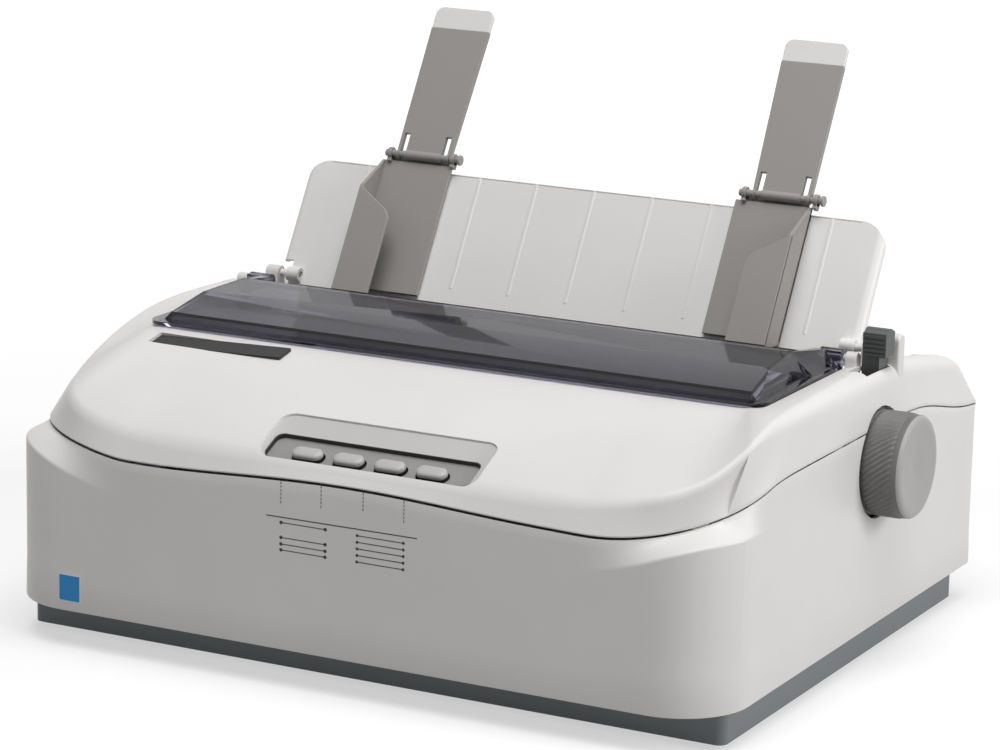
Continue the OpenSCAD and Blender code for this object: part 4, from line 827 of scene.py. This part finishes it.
def build_upper_case():
    """Upper skin with the openings for knob, lever, cover, panel and name plate."""
    mesh = cut(loft(upper_rings(all_stations())), [
        knob_well(),
        box(*LEVER_SLOT),
        box(-COVER_X - 0.5, COVER_X + 0.5, COVER_FRONT - 0.5, 60, DECK_Z, REBATE_TOP),
        prism(rounded(*SCOOP, SCOOP_R), -14, 26, PANEL_PLACE),
        prism(rounded(*PLATE_HOLE, PLATE_R), 0, 6, PLATE_PLACE),
    ])
    new_piece("upper_case_skin", mesh, "case", "case_plastic", ["upper_case"])


def build_posts():
    """Hinge posts of the cover and the sheet guide, with their stub pins, and the lever guard."""
    parts = []
    for side in (-1, 1):
        for axis, half, foot, post, stub in POSTS:
            x0, x1 = sorted(side * (DECK_OPEN + x) for x in post)
            parts.append(side_prism(arch(*axis, half, foot), x0, x1))
            x0, x1 = sorted(side * (DECK_OPEN + x) for x in stub)
            parts.append(rod(x0, x1, *axis, PIN_R))
    soften(new_piece("upper_case_posts", joined(parts), "case", "case_plastic"), 0.5, 3)
    mesh = side_prism(arch(*GUARD_AXIS, GUARD_HALF, GUARD_FOOT), *GUARD_X)
    soften(new_piece("lever_guard", mesh, "case", "case_plastic"), 1.2, 4)


def build_lower_case():
    """Lower skin with the openings for the knob and, at the rear, for the sockets."""
    ports = [box(x - w / 2, x + w / 2, *PORT_Y, z - h / 2, z + h / 2) for x, z, w, h in PORTS]
    mesh = cut(loft(lower_rings(all_stations()), True), [knob_well(), *ports])
    new_piece("lower_case_skin", mesh, "case", "case_plastic", ["lower_case"])


def build_lower_inside():
    """Floor rim, the wall behind the platen knob with its leg, and the screw bosses."""
    reach = (-HALF_W + FLOOR_IN, -HALF_D + FLOOR_IN, HALF_W - FLOOR_IN, HALF_D - FLOOR_IN)
    outline = [p for p in rounded(*reach, CORNER_R - FLOOR_IN, 12) if p[1] < 0]
    outline += [p for p in rounded(*reach, REAR_R) if p[1] > 0]
    outline.sort(key=lambda p: math.atan2(p[1], p[0]))
    floor = cut(prism(outline, CASE_Z + 0.4, CASE_Z + WALL),
                [prism(rounded(*FLOOR_HOLE, 8), 10, 30)])
    plate = cut(rod(WELL_X, WELL_X + WELL_T, PLATEN_Y, PLATEN_Z, WELL_R + WELL_RIM, 96),
                [rod(WELL_X - 1, WELL_X + 3, PLATEN_Y, PLATEN_Z, WELL_BORE)])
    leg = box(WELL_X, WELL_X + WELL_T, PLATEN_Y - 18, PLATEN_Y + 18, CASE_Z + 1, PLATEN_Z - 30)
    bosses = [cut(prism(circle(x, y, BOSS_R, 48), 5.5, CASE_Z + 1),
                  [prism(circle(x, y, BOSS_BORE, 48), 4, CASE_Z - 4)])
              for x in (-BOSS_X, BOSS_X) for y in BOSS_Y]
    new_piece("lower_case_inside", joined([floor, plate, leg, *bosses]), "case", "case_plastic")


# ---------------- control panel and buttons

# In the panel's own frame, whose Z stands up from the slope of the case
PANEL_PLACE = place_at(8.5, -HALF_D + 14.3, 124.2) @ turn(25.5)
WINDOW, WINDOW_R = (-59, -9.7, 59, 9.7), 5
SCOOP, SCOOP_R = (-62.6, -9.8, 62.6, 24.3), 8
WINDOW_FLOOR, WINDOW_WALL = -4.5, 0.45
SCOOP_LOW, SCOOP_EDGE, SCOOP_FOOT, SCOOP_DIP = -2.3, -1.5, -4.4, 0.6
SCOOP_ROWS, SCOOP_COLUMNS = 36, 48
# How far the scoop reaches past its hole: at the front, at the rear, at either side
SCOOP_PAST = (0.3, 1.0, 0.6)
KEYS, KEY_Y, KEY_X0, KEY_STEP, KEY_W, KEY_D = 4, -3, -35.4, 23.7, 17, 8
# Key's side from below to its crown: height, how far in
KEY_CROWN = ((-2.9, 0.6), (-2.9, 0), (-1.6, 0.1), (-1.0, 0.4), (-0.65, 0.9), (-0.4, 1.8),
             (-0.3, 2.9))
KEY_TOP, SKIRT_LOW, STEM_TOP, STEM_LOW, STEM_R = -2.9, -4.9, -4.6, -6.1, 2


def key_shape(k, more):
    """Outline of a key, wider and deeper than the key itself by some more."""
    return stadium(KEY_X0 + KEY_STEP * k, KEY_Y, KEY_W + more, KEY_D + more)


def window_shape(more, r):
    """Outline of the window, moved out on every side by some more."""
    x0, y0, x1, y1 = WINDOW
    return rounded(x0 - more, y0 - more, x1 + more, y1 + more, r)


def build_control_panel():
    """Scoop that slopes into the window, its grey a painted shade, the dark window floor, and its
    wall in black as a painted shadow.
    """
    x0, y0, x1, y1 = SCOOP
    front, rear, aside = SCOOP_PAST
    rings = []
    for i in range(SCOOP_ROWS + 1):
        y = y0 - front + (y1 - y0 + front + rear) * i / SCOOP_ROWS
        v = max(y - WINDOW[3] + 2, 0) / (y1 - WINDOW[3] + 3)
        row = []
        for j in range(SCOOP_COLUMNS + 1):
            u = j / SCOOP_COLUMNS
            sink = (SCOOP_LOW - SCOOP_EDGE) * smooth(min(u, 1 - u) * 9) * (1 - v ** 1.5)
            row.append((x0 - aside + (x1 - x0 + 2 * aside) * u, y,
                        SCOOP_EDGE - SCOOP_DIP * smooth((y0 + 6 - y) / 6) + sink))
        rings.append(row + [(x, y, SCOOP_FOOT) for x, y, z in reversed(row)])
    scoop = cut(outward(loft(rings)), [prism(window_shape(0, WINDOW_R), -6, 2)])
    # The scoop takes a grey finish: painted shade of its steeper slope
    new_piece("panel_scoop", scoop, "case", "panel_grey", ["control_panel"], "scoop_painted_shade",
              PANEL_PLACE, CURVED)
    floor = cut(prism(window_shape(0.5, WINDOW_R + 0.5), WINDOW_FLOOR - 0.9, WINDOW_FLOOR),
                [prism(key_shape(k, 1.6), -8, 2) for k in range(KEYS)])
    new_piece("window_floor", floor, "case", "panel_grey", finish="window_grey",
              place=PANEL_PLACE)
    # The window's wall is black as a painted shadow along the window's upper and left edges
    wall = cut(prism(window_shape(0, WINDOW_R), WINDOW_FLOOR, SCOOP_LOW + 0.1),
               [prism(window_shape(-WINDOW_WALL, WINDOW_R - 0.4), -8, 2)])
    new_piece("window_wall", wall, "case", "panel_grey", finish="black_plastic",
              place=PANEL_PLACE)


def build_buttons():
    """Oval keys with slightly crowned tops, each on a black skirt with a stem; the skirt's black is
    a painted shadow round the key.
    """
    for k in range(KEYS):
        number, key = k + 1, "key_%d" % (k + 1)
        skirt = joined([prism(key_shape(k, -0.1), SKIRT_LOW, KEY_TOP),
                        prism(circle(KEY_X0 + KEY_STEP * k, KEY_Y, STEM_R, 24), STEM_LOW,
                              STEM_TOP)])
        # The skirt is black as the painted shadow in the gap round each key
        new_piece("button_skirt_%d" % number, skirt, key, "panel_grey", finish="black_plastic",
                  place=PANEL_PLACE, angle=CURVED)
        top = loft([[(x, y, z) for x, y in key_shape(k, -2 * inset)] for z, inset in KEY_CROWN])
        new_piece("button_top_%d" % number, top, key, "panel_grey", ["button_%d" % number],
                  "button_grey", PANEL_PLACE, CURVED)


# ---------------- platen knob

KNOB_X, KNOB_LEN, KNOB_R, KNOB_BORE, KNOB_DEPTH = HALF_W - 3.7, 24.5, 27.7, 5.05, 18
KNURLS, KNURL_POINTS, KNURL_ROWS = 54, 6, 20
KNURL_FROM, KNURL_LEN, KNURL_SLANT, KNURL_DEPTH = 3.2, 16.3, 38, 0.9
# Distance from the knob's back or front, radius
KNOB_BACK = ((0, KNOB_BORE), (0, 24), (0, 27.3), (0.3, 27.6), (2.0, 27.6), (2.4, 27.3),
             (2.6, 26.6), (3.0, 26.8))
KNOB_RIM = ((-4.6, 27.1), (-2.0, 27.0), (-2.0, 24), (-3.0, 0.3))
KNOB_FACE = ((-2.9, 0.3), (-2.3, 0.3), (-2.2, 4.0), (-1.9, 7.0), (-1.4, 9.5), (-1.1, 12.5),
             (-0.9, 16.0), (-0.5, 19.5), (-0.1, 22.2), (0, 23.8), (-0.1, 25.1), (-0.45, 26.0),
             (-1.1, 26.6), (-2.0, 26.9), (-2.0, 24.5))


def knurl_r(v, a):
    """Radius of the knurl at a share of its length and an angle."""
    slant = math.tan(math.radians(KNURL_SLANT)) * KNURL_LEN * v / KNOB_R
    wave = 0.5 + 0.5 * math.cos(KNURLS * (a + slant))
    return KNOB_R - KNURL_DEPTH + KNURL_DEPTH * wave * smooth(min(v, 1 - v) * 12)


def build_platen_knob():
    """Knurled wheel: a plain flange, a slanted knurl, a rolled rim and a shallow dish."""
    steps = KNURLS * KNURL_POINTS
    turns = [2 * math.pi * j / steps for j in range(steps)]

    def ring(x, radii):
        return [(x, PLATEN_Y + r * math.cos(a), PLATEN_Z + r * math.sin(a))
                for a, r in zip(turns, radii)]

    front = KNOB_X + KNOB_LEN
    disc = turned([(front + x, r) for x, r in KNOB_FACE], PLATEN_Y, PLATEN_Z, 144)
    new_piece("platen_knob_face", disc, "platen", "knob_grey", angle=CURVED)
    rings = [ring(KNOB_X + x, [r] * steps) for x, r in KNOB_BACK]
    for i in range(KNURL_ROWS + 1):
        v = i / KNURL_ROWS
        rings.append(ring(KNOB_X + KNURL_FROM + KNURL_LEN * v, [knurl_r(v, a) for a in turns]))
    rings += [ring(front + x, [r] * steps) for x, r in KNOB_RIM]
    mesh = cut(loft(rings), [
        rod(KNOB_X - 0.02, KNOB_X + KNOB_DEPTH, PLATEN_Y, PLATEN_Z, KNOB_BORE, steps),
        rod(KNOB_X - 1, KNOB_X + 4, PLATEN_Y, PLATEN_Z, KNOB_R - 4, 96)])
    new_piece("platen_knob_body", mesh, "platen", "knob_grey", ["platen_knob"], "knurl_grey",
              angle=CURVED)


# ---------------- sheet guide

GUIDE_PLACE = place_at(0, *GUIDE_AXIS) @ turn(-30.3)
GUIDE_LEN, GUIDE_LOW, FACE_Y, GUIDE_T, GUIDE_R = 70.9, -5, 2.05, 2.5, 5.0
GUIDE_X0, GUIDE_X1, GUIDE_FOOT = -DECK_OPEN - 2.8, DECK_OPEN - 4.3, DECK_OPEN - 5
TOP_R, FOOT_H, KNUCKLE_R, KNUCKLE_LEN, ARM_IN = 15, 9, 4, 8, 4
RIB_STEP, RIB_HALF, RIB_RISE = 35.7, 1.1, 0.32
# Groove under the top: how far from the side edges, from a rib, deep, and below the top
GROOVE_IN, GROOVE_GAP, GROOVE_DEPTH, GROOVE_Z = 14, 0.8, 0.45, (-1.15, -0.45)


def build_sheet_guide():
    """Upright plate with turned side edges, shallow ribs, a groove under its top and knuckles."""
    x0, x1, top = GUIDE_X0, GUIDE_X1, GUIDE_LEN
    ax0, ax1, ay = x0 + GUIDE_R, x1 - GUIDE_R, FACE_Y + GUIDE_R
    section = (arc(ax0, ay, GUIDE_R, -180, 90) + arc(ax1, ay, GUIDE_R, -90, 90)
               + arc(ax1, ay, GUIDE_R - GUIDE_T, 0, -90)
               + arc(ax0, ay, GUIDE_R - GUIDE_T, -90, -90))
    tools = []
    for side, x in ((-1, x0), (1, x1)):
        turn_x = x - side * TOP_R
        corner = [(x + side, top + 1), (turn_x, top + 1), (turn_x, top)]
        corner += arc(turn_x, top - TOP_R, TOP_R, 90, -90 * side) + [(x + side, top - TOP_R)]
        foot = [(side * GUIDE_FOOT, -FOOT_H), (x + side * 6, -FOOT_H), (x + side * 6, FOOT_H),
                (side * GUIDE_FOOT, FOOT_H)]
        tools += [slope_prism(outline, -5, 12) for outline in (corner, foot)]
    ribs = [k * RIB_STEP for k in range(-4, 5)]
    ends = [x0 + GROOVE_IN] + ribs + [x1 - GROOVE_IN]
    tools += [box(a + GROOVE_GAP, b - GROOVE_GAP, FACE_Y - 1, FACE_Y + GROOVE_DEPTH,
                  top + GROOVE_Z[0], top + GROOVE_Z[1])
              for a, b in zip(ends, ends[1:]) if b - a > 3]
    parts = [cut(prism(section, GUIDE_LOW, top), tools)]
    for x in ribs:
        rib = [(x + RIB_HALF, FACE_Y + 0.3), (x - RIB_HALF, FACE_Y + 0.3)]
        rib += [(x + RIB_HALF * across, FACE_Y + 0.05 + RIB_RISE * out)
                for across, out in arc(0, 0, 1, 180, 180)]
        parts.append(prism(rib, 4, top - 1.4))
    for side in (-1, 1):
        a, b = sorted((side * (GUIDE_FOOT - KNUCKLE_LEN), side * GUIDE_FOOT))
        parts.append(cut(rod(a, b, 0, 0, KNUCKLE_R), [rod(a - 1, b + 1, 0, 0, PIN_R + 0.05)]))
        a, b = sorted((side * (GUIDE_FOOT - KNUCKLE_LEN), side * (GUIDE_FOOT - ARM_IN)))
        parts.append(box(a, b, 3.4, FACE_Y + GUIDE_T, -KNUCKLE_R, KNUCKLE_R))
    # The plate takes the case plastic in a lighter copy, a painted light that brightens it
    soften(new_piece("sheet_guide_plate", joined(parts), "guide", "case_plastic",
                     ["sheet_guide"], "guide_painted_light", GUIDE_PLACE), 0.35)


# ---------------- edge guides and arms

PIN_Y, PIN_Z, PLATE_TOP, CHANNEL = -2, 78, 74.2, 17
FENCE_LOW, FENCE_TOP, LIP_W, LIP_TOP, LIP_DROP = -11, 52, 23, 39.5, 7
HOOK_HALF, EAR_R, EAR_W, HEAD_R, HEAD_W = 11, 3.4, 2.5, 3, 1.5
# Side, plate's ends, which way its fence lies, pin's ends
EDGE_GUIDES = (("left", -134, -89.5, -1, -132.2, -85.5), ("right", 85.7, 130.5, 1, 87.6, 136))
ARM_W, ARM_LEN, ARM_T, ARM_FLARE, TIP_Z, TIP_R = 34.3, 91, 3, 3, 77.6, 5
ARM_SLOTS, SLOT_W, BARREL_R = (1.9, 28.4), 3.6, 2.7
# Side, arm's left end, which way it flares
ARMS = (("left", -125, 1), ("right", 95.4, -1))


def build_edge_guide(side, x0, x1, fence, pin0, pin1):
    """Edge guide: back plate, outer fence with a front lip, hook, ears and the arm's pin."""
    out = x1 if fence > 0 else x0
    inner = out - fence * LIP_W
    face = -1 - CHANNEL
    a, b = sorted((out, out - fence * 2))
    parts = [box(x0, x1, -1, 1.15, -3.5, PLATE_TOP),
             side_prism([(1.15, -3.5), (1.15, PLATE_TOP), (-1, PLATE_TOP),
                         (face + 0.5, FENCE_TOP + 0.3), (face + 0.5, FENCE_LOW),
                         (face + 6.5, FENCE_LOW)], a, b)]
    lip = [(out, FENCE_LOW), (out, FENCE_TOP)]
    lip += [(inner + fence * 3.5 * (1 - i / 8) ** 2, LIP_TOP - LIP_DROP * i / 8)
            for i in range(9)]
    lip.append((inner, FENCE_LOW))
    mid, top = (x0 + x1) / 2, GUIDE_LEN + 0.6
    parts += [slope_prism(lip, face, face + 2),
              box(mid - HOOK_HALF, mid + HOOK_HALF, 0.95, 6.9, top, top + 2),
              box(mid - HOOK_HALF, mid + HOOK_HALF, 5.1, 6.9, GUIDE_LEN - 8, top + 2),
              box(x0 + 3, x1 - 3, 2, 3.4, top, PIN_Z + 3)]
    for x in (pin0 + 2, pin1 - 4.5):
        parts += [rod(x, x + EAR_W, PIN_Y, PIN_Z, EAR_R, 32),
                  box(x, x + EAR_W, PIN_Y - 1.4, 1.15, 73, PIN_Z)]
    parts += [rod(pin0, pin1, PIN_Y, PIN_Z, PIN_R, 32),
              rod(pin1, pin1 + HEAD_W, PIN_Y, PIN_Z, HEAD_R, 32)]
    soften(new_piece("%s_guide_body" % side, joined(parts), "%s_guide" % side, "guide_grey",
                     ["%s_edge_guide" % side], place=GUIDE_PLACE), 0.35, 3)


def build_arm(side, x, flare):
    """Folding arm with a barrel round its pin, two slots and a tip painted pale as a highlight."""
    left, right = min(flare, 0) * ARM_FLARE, max(flare, 0) * ARM_FLARE

    def width_at(z):
        return x + left * z / ARM_LEN, x + ARM_W + right * z / ARM_LEN

    y0, y1 = PIN_Y - ARM_T / 2, PIN_Y + ARM_T / 2
    a0, b0 = width_at(0)
    a1, b1 = width_at(TIP_Z)
    a2, b2 = width_at(ARM_LEN - TIP_R)
    tip_z, end_z = PIN_Z + TIP_Z, PIN_Z + ARM_LEN - TIP_R
    slots = [box(x + k, x + k + SLOT_W, y0 - 3, y1 + 3, PIN_Z - 4, PIN_Z + 12.5)
             for k in ARM_SLOTS]
    plate = cut(slope_prism([(a0, PIN_Z), (a1, tip_z), (b1, tip_z), (b0, PIN_Z)], y0, y1),
                slots + [rod(x - 1, x + ARM_W + 1, PIN_Y, PIN_Z, PIN_R + 0.3, 32)])
    barrel = cut(rod(x + 0.4, x + ARM_W - 0.4, PIN_Y, PIN_Z, BARREL_R),
                 slots + [rod(x - 1, x + ARM_W + 1, PIN_Y, PIN_Z, PIN_R + 0.05)])
    soften(new_piece("%s_arm_plate" % side, joined([plate, barrel]), "%s_arm_body" % side,
                     "guide_grey", ["%s_arm" % side], place=GUIDE_PLACE), 0.35)
    tip = [(a1, tip_z)] + arc(a2 + TIP_R, end_z, TIP_R, 180, -90, 8)
    tip += arc(b2 - TIP_R, end_z, TIP_R, 90, -90, 8)[1:] + [(b1, tip_z)]
    # The tip's pale finish is a painted highlight
    soften(new_piece("%s_arm_tip" % side, slope_prism(tip, y0 + 0.25, y1 - 0.25),
                     "%s_arm_body" % side, "guide_grey", finish="tip_painted_highlight",
                     place=GUIDE_PLACE), 0.5, 3)


# ---------------- printed lines and sticker

LEGEND_Y, DASH, DASH_STEP = -HALF_D - 0.06, 1.4, 2.0
# Dashed lines below the buttons: x, top, foot
DASHES = ((-34.9, 108.4, 96.3), (-11.6, 109.2, 96), (12.5, 109.2, 98.5), (35.7, 108.4, 96.8))
RULE = (-43.5, 89.7, 43.3, 90.1)
# Lines with a dot at both ends: their two ends, the dots' size, heights
DOTTED = ((-34.7, -9, 0.95, (87, 79.2, 75.8, 72.7)),
          (9.3, 35.7, 0.8, [86.6 - 3.4 * k for k in range(5)]))
LABEL, LABEL_RIM = (-169.4, 25.2, -155.4, 40.4), 0.8


def ink(outline):
    return slope_prism(outline, LEGEND_Y, -HALF_D + 0.05)


def stroke(xa, za, xb, zb, width):
    """Straight printed line from one point to another."""
    start, end = Vector((xa, za)), Vector((xb, zb))
    side = (end - start).orthogonal().normalized() * width / 2
    return ink([start - side, end - side, end + side, start + side])


def build_legend():
    """Plain printed lines and dots below the buttons, without any lettering."""
    parts = [stroke(*RULE, 0.6)]
    for x, z, low in DASHES:
        while z - DASH > low:
            parts.append(stroke(x, z, x, z - DASH, 0.45))
            z -= DASH_STEP
    for x0, x1, size, heights in DOTTED:
        for z in heights:
            parts += [stroke(x0, z, x1, z, 0.5), ink(circle(x0, z, size, 16)),
                      ink(circle(x1, z, size, 16))]
    new_piece("legend_lines", joined(parts), "case", "case_plastic", finish="legend_ink")


def build_front_label():
    """Small plain sticker with a white border."""
    x0, z0, x1, z1 = LABEL
    border = slope_prism(rounded(*LABEL, 0.6, 3), -HALF_D - 0.16, -HALF_D + 0.02)
    new_piece("front_label_border", border, "case", "label_blue", ["front_label"],
              "label_white")
    field = rounded(x0 + LABEL_RIM, z0 + LABEL_RIM, x1 - LABEL_RIM, z1 - LABEL_RIM, 0.3, 3)
    new_piece("front_label_field", slope_prism(field, -HALF_D - 0.28, -HALF_D - 0.1), "case",
              "label_blue")


# ---------------- the whole printer

# Nodes that keep their solid's shape, by finish
REST = {
    "base_plastic": ("base_pan",),
    "foot_rubber": ("feet",),
    "smoked_clear": ("smoked_cover",),
    "plate_black": ("name_plate",),
    "lever_dark": ("paper_lever",),
    "shaft_steel": ("platen_shaft", "tractor_shaft", "tractor_rod", "feed_pinion", "pinch_shaft",
                    "guide_rod", "drive_pulley", "screws"),
    "platen_rubber": ("platen_roller", "pinch_rollers"),
    "bronze": ("platen_bushes",),
    "gear_plastic": ("platen_gear", "tractor_idler", "tractor_gear", "feed_idler",
                     "idler_pulley"),
    "black_plastic": ("left_tractor", "right_tractor", "left_tractor_cover",
                      "right_tractor_cover", "carriage", "ribbon_cartridge", "power_inlet",
                      "power_switch", "switch_frame", "rear_ports"),
    "belt_rubber": ("left_pin_belt", "right_pin_belt", "drive_belt"),
    "motor_steel": ("feed_motor", "carriage_motor"),
    # The chute is black, partly as painted shade that darkens the inside seen through the cover
    "chute_black_and_shade": ("paper_chute",),
    "frame_steel": ("side_frame_left", "side_frame_right", "frame_base"),
    "head_alloy": ("print_head",),
    "ribbon_fabric": ("ribbon",),
    "guide_grey": ("ribbon_knob",),
    "board_green": ("circuit_boards",),
    "core_steel": ("transformer",),
}
COVER_ROUND, SMALL_ROUND = 0.12, 0.3

build_upper_case()
build_posts()
build_lower_case()
build_lower_inside()
build_control_panel()
build_buttons()
build_platen_knob()
build_sheet_guide()
for row in EDGE_GUIDES:
    build_edge_guide(*row)
for row in ARMS:
    build_arm(*row)
build_legend()
build_front_label()
for slot, kept in REST.items():
    for node in kept:
        dress(node, slot, COVER_ROUND if node == "smoked_cover" else SMALL_ROUND)

add_camera()
for name, how in LAMPS.items():
    add_lamp(name, *how)
build_room()
build_floor()
bpy.context.scene.view_settings.view_transform = "Standard"
